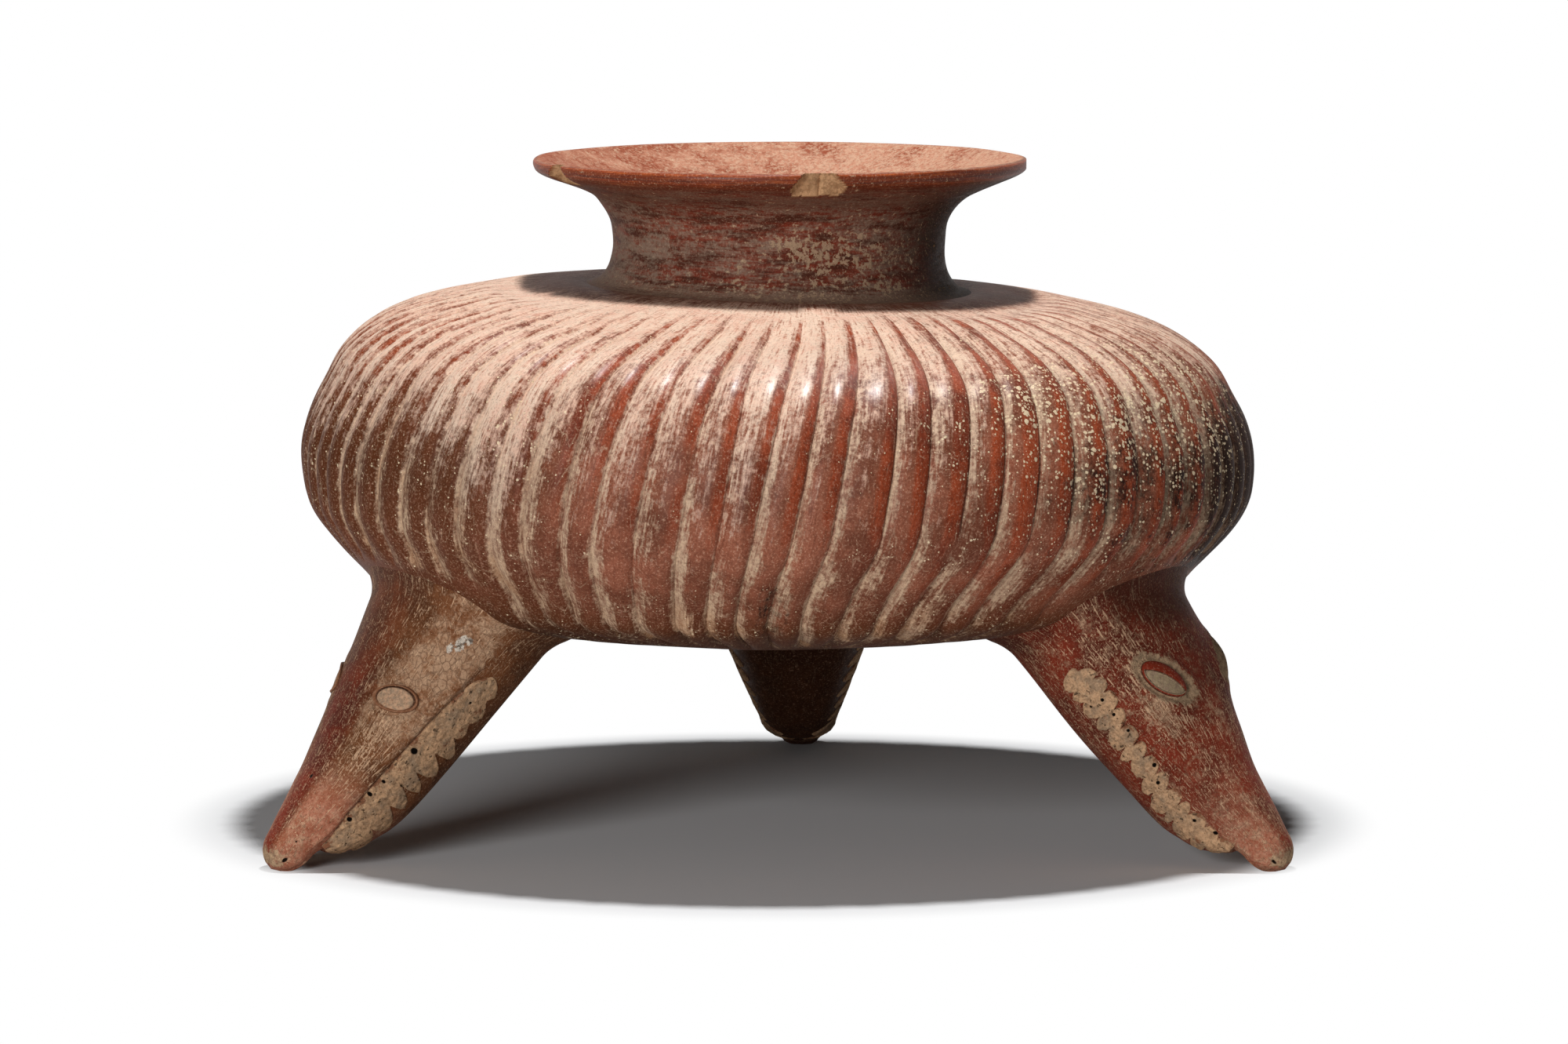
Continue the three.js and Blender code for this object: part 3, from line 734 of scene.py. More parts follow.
# Lowest point of the tilted snout, on the same sections that the CAD source uses
_caps = SNOUT_RADIUS * (1 - np.cos(np.arange(1, 4) * math.pi / 6))
_sections = np.r_[_caps, STATIONS[2:] * HEAD_LENGTH]
_under = head_skin(_sections, np.full(len(_sections), math.pi))
_under = _under @ (0, math.sin(HEAD_TILT), math.cos(HEAD_TILT))
TIP_HEIGHT = -float(_under.min()) - TIP_WEAR


def head_axes(azimuth):
    """Origin and the three axes of a head's frame, as rows, in the pot's frame."""
    c, s = math.cos(HEAD_TILT), math.sin(HEAD_TILT)
    axes = np.array([(0, -1, 0), (c, 0, s), (-s, 0, c)], float)
    cos, sin = math.cos(azimuth), math.sin(azimuth)
    turn = np.array([(cos, sin, 0), (-sin, cos, 0), (0, 0, 1)])
    return np.array([HEAD_REACH, 0, TIP_HEIGHT]) @ turn, axes @ turn


def to_pot(points, azimuth):
    """Points of a head's frame in the pot's frame: the origin plus the points times the axes."""
    origin, axes = head_axes(azimuth)
    return origin + points @ axes


def to_head(points, azimuth):
    """Points of the pot's frame in a head's frame, the other way about."""
    origin, axes = head_axes(azimuth)
    return (points - origin) @ axes.T


def parting_angle(station):
    """Angle at which the mouth plane meets the skin, held still towards the tip. The plane runs straight
    from its depth at the chin to its depth at the root."""
    station = np.maximum(station, JAW_START - 2.5)
    slope = (PARTING_AT_ROOT - PARTING_AT_CHIN) / (HEAD_LENGTH - JAW_START)
    depth = PARTING_AT_CHIN + slope * (station - JAW_START)
    return math.pi - np.arccos(np.clip((depth / head_drop(station)) ** (SECTION_POWER / 2), 0, 1))


# Body surface near the legs
_near = np.linspace(0.02, 0.75, 260)
_near_r, _near_z = outline(_near)
_near_n = np.stack([np.interp(_near, _shares, _slope[:, 1]), -np.interp(_near, _shares, _slope[:, 0])], -1)


def body_distance(points):
    """Distance outside the body's outline (negative inside) and outward normal of the nearest place."""
    flat = points.reshape(-1, 3)
    radius = np.hypot(flat[:, 0], flat[:, 1])
    dr = radius[:, None] - _near_r
    dz = flat[:, 2][:, None] - STAND_HEIGHT - _near_z
    nearest = np.argmin(dr**2 + dz**2, axis=1)
    found = (np.arange(len(flat)), nearest)
    normal = _near_n[nearest]
    distance = dr[found] * normal[:, 0] + dz[found] * normal[:, 1]
    out = np.stack([normal[:, 0] * flat[:, 0] / radius, normal[:, 0] * flat[:, 1] / radius, normal[:, 1]], -1)
    return distance.reshape(points.shape[:-1]), out.reshape(points.shape)


def leg_distance(points):
    """Rough distance of points on the body from the nearest leg's skin, in millimetres."""
    least = np.full(points.shape[:-1], 1e3)
    for leg in LEGS.values():
        local = to_head(points, leg.azimuth)
        station = np.clip(local[..., 2], 0, HEAD_LENGTH)
        width = head_width(station)
        height = np.where(local[..., 1] > 0, head_rise(station), head_drop(station))
        across, up = np.abs(local[..., 0]) / width, np.abs(local[..., 1]) / height
        ratio = (across**SECTION_POWER + up**SECTION_POWER) ** (1 / SECTION_POWER)
        beside = local[..., 2] >= 20
        least = np.where(beside, np.minimum(least, (ratio - 1) * (width + height) / 2), least)
    return least


# Body: ribs

def from_front(azimuth):
    """Degrees round the pot from its front, positive to the right, from -180 to 180."""
    return np.mod(np.degrees(azimuth) + 270, 360) - 180


def rib_wander(rib, share):
    """How far a groove strays, in rib pitches: a slow drift, and in front a lean to the left that doubles
    from just above the widest level down."""
    turn = rib * PITCH
    drift = 0.07 * ripple(11, turn, share, 7, 31, 1.2) + 0.06 * ripple(12, turn, share, 7, 60, 2.0)
    front = from_front(turn - math.pi / 2)
    return drift - 0.15 * bump(16, 24, front) * (1 + fall(0.49, 0.57, share))


def rib_strength(rib, share):
    """Depth of the grooves as a share: full on the sides, none on the underside and round the neck, and
    less where grooves fade for a stretch, each at its own level."""
    turn = rib * PITCH
    front = from_front(turn - math.pi / 2)
    ragged = 0.012 * ripple(13, turn, 0, 6, 40, 0)
    fade_in, full, fade_out, end = RIB_FADE
    strength = span(fade_in, full, fade_out + ragged, end + ragged, share)
    level = 0.55 + 0.012 * ripple(19, turn, 0, 6, 60, 0)
    lost = np.clip(0.4 + 0.45 * ripple(20, turn, 0, 6, 60, 0), 0, 0.85)
    gap = 1 - lost * span(4, 10, 30, 36, front) * bump(level, 0.022, share)
    weak = 1 - 0.5 * bump(-16, 7, front) * bump(0.64, 0.025, share)
    return strength * gap * weak * (1 + 0.15 * ripple(14, turn, share, 8, 50, 4.0))


def hand_shape(azimuth, height):
    """Unevenness of the sides, square to the outline: full at the left and right, none in front. Both
    sides swell a little above the widest level and again high on the shoulder."""
    high = 2.7 * smooth(168, 181, height)
    left = 2.2 * bump(136, 13, height) - 0.4 * bump(106, 8, height) - 0.8 * bump(158, 7, height) + high
    right = 1.1 * bump(132, 14, height) - 1.0 * bump(156, 8, height) + high
    side = np.cos(azimuth)
    return np.where(side < 0, left, right) * side**2


def rib_height(u):
    """Section of a rib against the groove at its left: a gentle rise, a crest right of the middle and a
    steep fall to the next groove: sin(pi u^1.3)^0.65."""
    return np.sin(math.pi * np.clip(u, 0, 1) ** 1.3) ** 0.65


RIB_STEPS = np.array([0, 0.06, 0.14, 0.24, 0.35, 0.46, 0.57, 0.68, 0.78, 0.86, 0.92, 0.965])
RIB_POSITIONS = (np.arange(RIB_COUNT)[:, None] + RIB_STEPS).ravel()


def body_rings(shares):
    """Rings of the ribbed outside at shares of the outline, with the masks that its material reads."""
    share = np.asarray(shares, float)[:, None]
    rib = RIB_POSITIONS[None, :]
    u = rib - np.floor(rib)
    slant = RIB_TWIST * np.maximum(0, share - RIB_TWIST_START) / (RIB_TWIST_END - RIB_TWIST_START)
    azimuth = -math.pi / 2 + slant + PITCH * (rib + rib_wander(rib, share))
    plain_r, plain_z = outline(share)
    gap = leg_distance(about_axis(plain_r, azimuth, plain_z + STAND_HEIGHT))
    free, clear = smooth(9, 22, gap), smooth(7, 17, gap)
    strength = rib_strength(rib, share) * clear
    inset = RIB_DEPTH * strength * (1 - rib_height(u))
    uneven = span(0.2, 0.3, 0.9, 0.98, share) * free
    inset = inset + (0.2 + 0.12 * ripple(15, rib * PITCH, share, 8, 12, 3.0)) * uneven
    inset = inset - hand_shape(azimuth, plain_z + STAND_HEIGHT) * free * fall(0.9, 0.97, share)
    radius, height = outline(share, inset)
    points = about_axis(radius, azimuth, height + STAND_HEIGHT)

    far = (1 - share) * OUTLINE_LENGTH
    front = from_front(azimuth)
    reddish = np.clip(rib_strength(rib, np.minimum(share, RIB_FADE[2])), 0, 1) * clear * smooth(22, 40, far)
    # shadow is how far from the neck the rim's cast shadow reaches, where the masks paint it in
    at = SimpleNamespace(
        share=share, turn=rib * PITCH, u=u, far=far, front=front, gap=gap,
        full=np.clip(strength, 0, 1), reddish=reddish,
        left=span(12, 40, 95, 120, -front), right=span(8, 30, 95, 120, front),
        under=smooth(124, 160, far), calm=1 - span(2, 18, 150, 178, front),
        shadow=12 + 7 * np.sin(np.radians(front)) ** 2,
    )
    fields = {name: mask(at) for name, mask in BODY_MASKS.items()}
    flow = about_axis(BODY_RADIUS, rib * PITCH, share * OUTLINE_LENGTH) * MM
    return points, fields | {"flow": flow}


# Masks of the body. They read, at each point: far, the way down the outline from the neck in mm; front, the
# degrees round from the front; u, the place across a rib; and the zones that body_rings names.

def groove_mask(at):
    """Where pale deposit lies: a band from the groove up the next rib, wider towards the bottom."""
    width = 0.38 + 0.16 * fall(60, 130, at.far) + 0.22 * at.left * fall(130, 210, at.far)
    width = width - 0.08 * smooth(170, 220, at.far) + 0.06 * at.right * fall(130, 190, at.far)
    width = width + 0.06 * ripple(18, at.turn, at.share, 7, 60, 3.0)
    width = width + 0.12 * at.under + 0.09 * at.left * bump(112, 40, at.far)
    blots = bump(15, 2.6, at.front) + bump(29.3, 2.6, at.front)
    width = width + 0.3 * blots * bump(169, 8, at.far)
    steep = smooth(0.968 - np.maximum(0.14 * at.under, 0.1 * at.calm), 0.998, at.u)
    groove = (fall(0.04 + 0.1 * at.under, width + 0.08 * at.under, at.u) + steep) * at.full
    groove = groove * (0.9 + 0.25 * ripple(16, at.turn, at.share, 9, 60, 6.0))
    patchy = 0.34 * ripple(25, at.turn, at.share, 9, 60, 11.0) - 0.12
    return groove + at.under * (1 - 0.85 * at.left) * patchy * (groove > 0)


def crest_mask(at):
    """Where burnished red shows: the far side of each rib, less towards the bottom and at the left."""
    thin = fall(70, 125, at.far)
    start = 0.46 + 0.15 * thin - 0.2 * at.right
    end = 0.78 + 0.1 * thin - 0.16 * at.right
    crest = smooth(start, end, at.u) * fall(0.95, 1.0, at.u) * at.reddish
    crest = crest * (1 + 0.3 * at.right - 0.5 * smooth(112, 165, at.far) * fall(2, 22, at.front))
    crest = crest * (1 - 0.4 * smooth(4, 24, -at.front) * smooth(80, 125, at.far))
    crest = crest * (1 - 0.55 * smooth(122, 172, at.far)) * (1 - 0.4 * at.left * fall(40, 95, at.far))
    return crest * (1 - 0.25 * at.right * fall(50, 100, at.far))


def edge_mask(at):
    """The dark line at a groove's steep side: painted shade, with some soot."""
    edge = (bump(0.965, 0.03, at.u) + 0.4 * smooth(0.84, 0.96, at.u) * (at.u < 0.99)) * at.full
    edge = edge * (0.72 + 0.4 * ripple(24, at.turn, at.share, 9, 60, 5.0) + 0.3 * at.right)
    return edge * (1 - 0.55 * at.calm) * (1 - 0.8 * at.under)


def haze_mask(at):
    """Pale film: dense on the shoulder, fading down the sides, and thinned where the lamp casts the rim's
    shadow, as a painted shadow.
    """
    reach = 108 + 28 * at.left + 14 * bump(-8, 18, at.front) - 4 * at.right
    reach = reach + 10 * ripple(17, at.turn, at.share, 8, 30, 2.0)
    haze = fall(reach - 66 + 18 * at.left, reach + 30 - 22 * at.left, at.far)
    haze = haze + 0.17 * bump(-16, 20, at.front) * bump(122, 34, at.far)
    haze = haze * (1 - 0.2 * at.right * fall(35, 85, at.far)) + 0.06 * fall(120, 175, at.far)
    # Painted shadow: less film where the rim's shadow falls, least in front
    held = 0.25 + 0.2 * np.cos(np.radians(at.front)) ** 2
    return haze * (held + (1 - held) * smooth(at.shadow, at.shadow + 13, at.far))


def soot_and_shade_mask(at):
    """Soot with painted shade: two fire clouds at the right, the second also painted shade down the right
    side, a spot in front, one low at the right, and one at the back.
    """
    return (
        0.85 * span(22, 44, 100, 120, at.front) * bump(126, 34, at.far)
        # Painted shade down the right side as well as a fire cloud
        + 1.2 * span(58, 78, 105, 130, at.front) * bump(148, 34, at.far)
        + 0.8 * bump(-1, 3.5, at.front) * bump(176, 18, at.far)
        + 0.4 * bump(62, 12, at.front) * bump(168, 18, at.far)
        + 0.6 * bump(170, 30, np.abs(at.front)) * bump(120, 40, at.far)
    )


def fleck_mask(at):
    """Cream flecks: some everywhere, many at the right, and some by the left leg and low down."""
    return (
        0.20
        + 1.05 * span(8, 38, 62, 92, at.front) * bump(105, 45, at.far)
        + 0.65 * bump(-40, 16, at.front) * bump(205, 18, at.far)
        + 0.30 * bump(215, 45, at.far)
        + 0.35 * at.left * bump(120, 30, at.far)
    )


def brown_mask(at):
    """Brown slip at the left, a painted shadow of the rim on the shoulder, and darker low on the body and
    round the left leg.
    """
    brown = (
        1.02 * span(18, 42, 100, 125, -at.front) * bump(120, 36, at.far)
        # Painted shadow of the rim on the shoulder
        + 0.45 * fall(at.shadow, at.shadow + 14, at.far)
        + 0.26 * smooth(135, 185, at.far)
        + 0.75 * smooth(168, 194, at.far)
        + 0.12 * at.left * smooth(150, 215, at.far)
        + 0.3 * at.left * fall(20, 45, at.gap)
    )
    return np.clip(brown, 0, 1.5)


def gloss_mask(at):
    """Burnish: a little in front, and most on the ribs that catch the light there."""
    lit = 0.75 * bump(-6, 26, at.front) + 0.9 * bump(6, 12, at.front)
    return 0.12 * fall(30, 62, np.abs(at.front)) + lit * bump(78, 20, at.far)


BODY_MASKS = {
    "groove": groove_mask, "crest": crest_mask, "edge": edge_mask, "haze": haze_mask,
    "cloud": soot_and_shade_mask, "fleck": fleck_mask, "brown": brown_mask, "gloss": gloss_mask,
}
INSIDE_FILM = 0.35
INSIDE_ROWS = 14


def with_inside(fields, rows):
    """Masks for the inside rows that follow the outside ones: bare of ribs, with an even film."""
    fields = grow(fields, after=rows)
    for name in BODY_MASKS:
        fields[name][-rows:] = INSIDE_FILM if name == "haze" else 0.0
    return fields


def inner_rings(start, end, azimuths):
    """Level rings of the body's inside between two shares of the outline."""
    share = np.linspace(start, end, INSIDE_ROWS)[:, None]
    radius, height = outline(share, BODY_WALL)
    return about_axis(radius, azimuths, height + STAND_HEIGHT)


def make_body():
    """The two halves of the body, which meet at the same seam points."""
    seam_out, seam_in = share_at(SEAM_HEIGHT, 0), share_at(SEAM_HEIGHT + SEAM_RISE, BODY_WALL)
    azimuths = -math.pi / 2 + RIB_POSITIONS * PITCH

    low = np.r_[np.linspace(0.02, RIB_FADE[0] - 0.02, 12), np.linspace(RIB_FADE[0], seam_out, 60)]
    outside, fields = body_rings(low)
    rings = np.concatenate([outside, inner_rings(seam_in, 0.03, azimuths)])
    poles = [(0, 0, STAND_HEIGHT), (0, 0, STAND_HEIGHT + BODY_WALL)]
    piece("lower_bowl", shell(rings, poles), RIBBED, with_inside(fields, INSIDE_ROWS))

    high = np.r_[np.linspace(seam_out, RIB_FADE[3] + 0.02, 68), np.linspace(RIB_FADE[3] + 0.035, 1, 10)]
    outside, fields = body_rings(high)
    seat_r, seat_z = outline(1.0)
    way = np.array([[0.5], [1.0]])
    seat = about_axis(seat_r - NECK_SEAT * way, azimuths, seat_z - BODY_WALL * way + STAND_HEIGHT)
    rings = settle(np.concatenate([outside, seat, inner_rings(0.9, seam_in, azimuths)]))
    fields = with_inside(fields, INSIDE_ROWS + len(seat))
    piece("shoulder", shell(rings), RIBBED, fields)


# Neck

# Chips knocked off the rim: start and end in degrees round it, depth, and the place of a crack
CHIPS = ((272.0, 286.8, 4.6, 279.9), (201.5, 213.0, 3.6, None))
NECK_COLUMNS = 720
NECK_ROWS = 118


def chipped(radius, height, degrees, outer):
    """The neck's radius with its chips: beyond a sloping, ragged plane the clay is gone. Also the mask of
    the broken faces."""
    broken = np.zeros_like(radius)
    for start, end, depth, crack in CHIPS:
        narrow = 2.6 * smooth(228, 234.5, height)
        inside = span(start + narrow, start + narrow + 1.6, end - narrow - 1.8, end - narrow, degrees)
        ragged = 0.5 * ripple(23, np.radians(degrees) * 9, height / 9, 8, 9, 2.0)
        plane = 77.2 + (height - 226.2) * 0.62 + ragged + (1 - inside) * 9 + (4.6 - depth)
        if crack:
            plane = plane - 1.1 * bump(crack, 0.35, degrees) + 0.8 * bump(crack + 1.6, 1.4, degrees)
        cut = outer & (radius > plane) & (degrees > start) & (degrees < end)
        radius = np.where(cut, plane, radius)
        broken = np.maximum(broken, cut * smooth(0.0, 0.3, inside))
    return radius, broken


def neck_masks(row, turn, height):
    """Masks of the neck from the row along its profile, the turn and the height: redder lip, pink inside,
    painted shade under the rim and on the front of the lip, flakes in front, dust at the foot and soot with
    painted shade at the right."""
    front = from_front(turn)
    lip, inside = span(11.6, 13.2, 15.6, 16.8, row), smooth(15.8, 17.2, row)
    # Painted shade under the rim, carried onto the front of the lip
    under = (0.5 + 0.5 * smooth(11.0, 12.4, row)) * smooth(213, 222, height)
    under = under * (1 - smooth(13.8, 14.4, row) * (1 - 0.75 * bump(0, 75, front)))
    flake = (
        0.15
        + 0.50 * bump(14, 22, front) * bump(206, 9, height)
        + 0.30 * bump(8, 60, front) * bump(193, 4, height)
        + 0.18 * bump(42, 16, front) * bump(204, 9, height)
        + 0.03 * bump(16, 16, front) * bump(205, 8, height)
    )
    fields = {
        "lip": lip,
        "inside": inside,
        "flake": flake * (1 - inside),
        "foot": fall(190.5, 196, height) * (1 - inside),
        "pale": 0.5 + 0.5 * np.cos(turn - math.radians(30)),
        "cloud": bump(86, 40, front) * (1 - lip) * (1 - inside),
        "under": under * fall(14.9, 15.6, row),
    }
    fields = {name: mask + 0 * height for name, mask in fields.items()}
    return fields | {"flow": about_axis(8.0, turn, row * 3.2) * MM}


def make_neck():
    """The neck as a turned profile, with an uneven rim and two chips knocked off its outer edge."""
    turn = np.arange(NECK_COLUMNS)[None, :] * 2 * math.pi / NECK_COLUMNS
    profile = np.vstack([NECK_OUTSIDE, NECK_LIP, NECK_THROAT])
    fine = spline(profile, np.linspace(0, 1, NECK_ROWS))
    row = np.linspace(0, len(profile) - 1, NECK_ROWS)[:, None]
    radius, height = fine[:, :1] + 0 * turn, fine[:, 1:] + 0 * turn
    flare = smooth(215, 234, height)
    height = height - flare * (0.1 - 0.1 * np.cos(turn - math.radians(55)))
    radius = radius + 0.35 * ripple(21, turn, height / 60, 6, 9, 1.0) * flare
    radius = radius + 0.25 * ripple(22, turn, height / 30, 8, 14, 1.5) * smooth(190, 200, height)
    radius = np.minimum(radius, RIM_RADIUS)
    degrees = np.degrees(turn)
    radius = radius - 2.3 * bump(182, 34, degrees) * bump(224.5, 4.2, height)
    radius, broken = chipped(radius, height, degrees, (row < 19.5) & (height > 215))
    fields = neck_masks(row, turn, height) | {"broken": broken}
    rings = settle(about_axis(radius, turn, height))
    piece("neck", shell(rings), NECK, fields, sharp=60)


# Heads: relief and masks

# Lines along the side of a head, as stations and degrees from the crown, of brown and of lidded heads
LIP_LINES = {
    False: ([8, 15, 28, 48, 69, 89, 96], [112, 104, 94, 92, 92, 94, 98]),
    True: ([14, 22, 33, 56, 74, 95], [118, 108, 92, 72, 74, 80]),
}
BAND_TOP_LINE = ([15, 23, 30, 38, 52, 71, 82, 92], [121, 117, 113, 111, 105, 98, 91, 90])
BAND_LOW_LINES = {
    False: ([15, 21, 28, 34, 46, 60, 80, 94], [146, 146, 133, 121, 112, 113, 121, 118]),
    True: ([15, 24, 35, 52, 72, 84, 94], [144, 140, 125, 112, 104, 108, 112]),
}
TEETH_COUNTS = {False: 10, True: 13}


def side_line(line, station):
    """Angle from the crown of a line along the side of a head."""
    return np.radians(np.interp(station, *line))


def scallop(place, power, root):
    """Round rise and fall over places from 0 to 1: (1 - |2 place - 1|^power)^root."""
    return np.clip(1 - np.abs(2 * place - 1) ** power, 0, 1) ** root


def band_margins(station, leg):
    """Upper and lower angle of the band of teeth at each station: both margins follow smooth curves,
    close in round arcs at the ends, and round teeth stand out from the toothed ones with gaps between."""
    share = np.clip((station - BAND_START) / (BAND_END - BAND_START), 0, 1)
    girth = head_width(station)
    low = side_line(BAND_LOW_LINES[leg.lidded], station)
    if leg.lidded:
        top = side_line(BAND_TOP_LINE, station)
        depth_low, depth_top, power, root = 4.4, 3.2, 2.8, 0.7
    else:
        top = side_line(LIP_LINES[False], station) + np.radians(2.5)
        depth_low, depth_top, power, root = 8.6 - 5.0 * smooth(60, 80, station), 0.0, 1.8, 0.85
    rng = np.random.default_rng(leg.seed)
    count = TEETH_COUNTS[leg.lidded]
    edges = np.linspace(0, 1, count + 1) + np.r_[0, rng.uniform(-0.018, 0.018, count - 1), 0]
    sizes = rng.uniform(0.7, 1.15, count)
    index = np.clip(np.searchsorted(edges, share, side="right") - 1, 0, count - 1)
    within = np.clip((share - edges[index]) / (edges[index + 1] - edges[index]), 0, 1)
    ragged = 0.3 * ripple(leg.seed + 70, share * 40, 0, 9, 9, 0)
    low = low + (depth_low * sizes[index] * scallop(within, power, root) + ragged) / girth
    top = top - depth_top * scallop(np.mod(within + 0.3, 1), 3, 0.7) / girth
    middle, half = (top + low) / 2, (low - top) / 2 * np.maximum(scallop(share, 7, 0.5), 0.04)
    return middle - half, middle + half


def eye_place(station, angle, side, eye):
    """Coordinates round an eye, in half lengths and half widths: 1 on its outline."""
    along = station - eye.station
    around = (angle * side - math.radians(eye.degrees)) * head_width(station) * EYE_GIRTH
    slant = math.radians(eye.slant)
    long = around * math.cos(slant) + along * math.sin(slant)
    short = along * math.cos(slant) - around * math.sin(slant)
    return long / eye.long, short / eye.wide


def chin_swell(station, angle):
    """Fullness of the chin, below the mouth plane only."""
    return 2.4 * bump(22, 8, station) * smooth(1.95, 2.35, np.abs(angle))


def relief(station, angle, leg):
    """Height that modelling adds to a head's skin: a groove and a soft ring round each eye, a lip ridge
    that falls off sharply to the band of teeth, a shallow bed under the band, and hand-made unevenness."""
    total = 0.0
    girth = head_width(station)
    lip_height = 0.8 if leg.lidded else 1.4
    for side, eye in leg.eyes.items():
        ratio = np.hypot(*eye_place(station, angle, side, eye))
        ring = 0.5 * bump(1.5, 0.25, ratio) - 0.5 * bump(1.12, 0.12, ratio)
        round_eye = ring * eye.height / EYE_HEIGHT + eye.dome * bump(0, 1.45, ratio)
        total = total + np.where(np.cos(angle - side * EYE_ANGLE) > 0.3, round_eye, 0)
        below = (angle * side - side_line(LIP_LINES[leg.lidded], station)) * girth
        lip = lip_height * np.exp(-(np.where(below < 0, below / 3.6, below / 0.75) ** 2))
        lip = lip * span(9, 18, 84, 98, station)
        top, low = band_margins(station, leg)
        depth = np.minimum(angle * side - top, low - angle * side) * girth
        bed = 0.35 * span(BAND_START, BAND_START + 3, BAND_END - 3, BAND_END, station)
        bed = bed * smooth(-0.6, 0.6, depth)
        total = total + np.where(np.sign(np.sin(angle)) == side, lip - bed, 0)
    total = total + 0.7 * bump(0, 0.30, angle) * span(20, 45, 95, 115, station)
    if leg.lidded:
        total = total + 1.7 * bump(-0.35, 0.5, angle) * span(28, 52, 84, 104, station)
    uneven = 0.22 * ripple(leg.seed + 30, angle, station / 60, 8, 4, 1.5) * smooth(12, 30, station)
    return total + uneven - 0.25 * fall(8, 24, station)


def left_masks(station, off):
    """Dust, painted shade and soot, rosy snout and scratches of the left head. Off is the degrees from the
    crown.
    """
    start = 12 + 18 * smooth(68, 96, station)
    dusty = 0.7 * span(start, start + 30, 88, 108, off) * smooth(40, 62, station)
    dusty = dusty + 0.16 * bump(88, 16, station) * bump(60, 30, off) + 0.28 * fall(10, 40, station)
    # Painted shade at the root and along the crown
    deep = 0.5 * smooth(90, 118, station) * fall(34, 66, off) + 0.16 * smooth(96, 118, station)
    deep = deep + 0.2 * fall(10, 36, off)
    snout = 0.85 * fall(22, 46, station) * smooth(14, 34, off)
    return dusty, deep, snout, 0.2 + 1.25 * bump(48, 13, station) * bump(58, 24, off)


def right_masks(station, off):
    """The same of the right head."""
    dusty = 0.26 + 0.06 * bump(102, 12, station) * bump(70, 20, off) + 0.16 * fall(8, 40, station)
    dusty = dusty + 0.42 * bump(66, 9, station) * bump(62, 18, off)
    # Painted shade and soot at the root and along the crown
    deep = 0.95 * smooth(80, 106, station) * fall(35, 66, off) + 0.3 * smooth(100, 116, station)
    deep = deep + 0.3 * smooth(52, 70, station) * fall(14, 34, off)
    snout = (0.55 * fall(6, 28, station) + 0.45 * fall(14, 46, station)) * smooth(12, 36, off)
    return dusty, deep, snout, 0.3 + 0.7 * bump(66, 24, station) * bump(56, 30, off)


def rear_masks(station, _):
    """The same of the rear head, most of it painted in shade."""
    return 0.12, 0.65 + 0.3 * smooth(60, 110, station), 0.2 * fall(10, 34, station), 0.2


def spots(station, angle, places, power=2, spread=1.0):
    """Mask of round spots on a head, each at a station, an angle in degrees and a radius."""
    found = 0 * (station + angle)
    for at, degrees, radius in places:
        away = np.hypot(station - at, (angle - math.radians(degrees)) * head_width(station))
        found = np.maximum(found, np.exp(-((away / radius / spread) ** power)))
    return found


def head_fields(station, angle, leg, gap):
    """Masks for the material of a head. Gap is the distance from the body, at the root."""
    off = np.degrees(np.abs(angle))
    bare = 0.62 * fall(2, 10, station) * fall(70, 130, off)
    for side, eye in leg.eyes.items():
        ratio = np.hypot(*eye_place(station, angle, side, eye))
        halo = (0.66 if leg.lidded else 0.34) * fall(1.2, 2.0, ratio)
        bare = np.maximum(bare, np.where(np.sign(np.sin(angle)) == side, halo, 0))
    jaw = smooth(104, 116, off)
    dusty, deep, snout, scrape = leg.masks(station, off)
    dusty = dusty * (1 - (0.0 if leg.lidded else 0.8) * jaw) * (1 - 0.2 * fall(1, 12, gap))
    fields = {
        # Painted shade under the jaw as well
        "bare": bare, "dusty": dusty, "deep": deep + 0.15 * jaw, "snout": snout, "scrape": scrape,
        "crown": fall(8, 36, off) * (1 - 0.65 * smooth(56, 92, station)),
        "holes": spots(station, angle, leg.holes), "chalk": spots(station, angle, leg.chalk),
    }
    fields = {name: mask + 0 * bare for name, mask in fields.items()}
    flow = head_skin(60.0, angle + 0 * bare)
    flow[..., 2] = station
    return fields | {"flow": flow * MM}


# Heads: pieces

def root_station(angle, azimuth):
    """Station at which each line of a head's skin meets the body."""
    stations = np.linspace(60, 150, 181)
    distance, _ = body_distance(to_pot(head_skin(stations[:, None], angle), azimuth))
    first = np.clip(np.argmax(distance < 0, axis=0), 1, len(stations) - 1)
    columns = np.arange(len(angle))
    before, after = distance[first - 1, columns], distance[first, columns]
    share = np.clip(before / (before - after), 0, 1)
    return stations[first - 1] + share * (stations[first] - stations[first - 1])


def smear(points, normals, azimuth):
    """Smears the root over the body: within the fillet radius of the body, a point moves away from the
    leg, along the body's surface, by the depth of a quarter circle."""
    placed = to_pot(points, azimuth)
    _, axes = head_axes(azimuth)
    outwards = normals @ axes
    distance, body = body_distance(placed)
    away = outwards - (outwards * body).sum(-1, keepdims=True) * body
    away /= np.maximum(np.linalg.norm(away, axis=-1, keepdims=True), 1e-6)
    push = FILLET - np.sqrt(FILLET**2 - (FILLET - np.clip(distance, 0, FILLET)) ** 2)
    moved = placed + away * push[..., None]
    risen, body = body_distance(moved)
    sink = np.where(push > 0, risen - distance, 0) + 0.6 * fall(0, 1.4, distance)
    return moved - body * sink[..., None], distance


HEAD_ROWS = np.r_[np.linspace(0, 0.1, 22)[1:], np.linspace(0.1, 0.88, 118)[1:], np.linspace(0.88, 1, 34)[1:]]
JAW_ROWS = (HEAD_ROWS[18:] - HEAD_ROWS[18]) / (1 - HEAD_ROWS[18])
FLAT_MIX = np.linspace(0, 1, 31)[1:-1]
CHIN_MIX = np.linspace(0, 1, 8)[1:-1]
ROOT_DEPTH = 1.8
ROOT_RINGS = 6


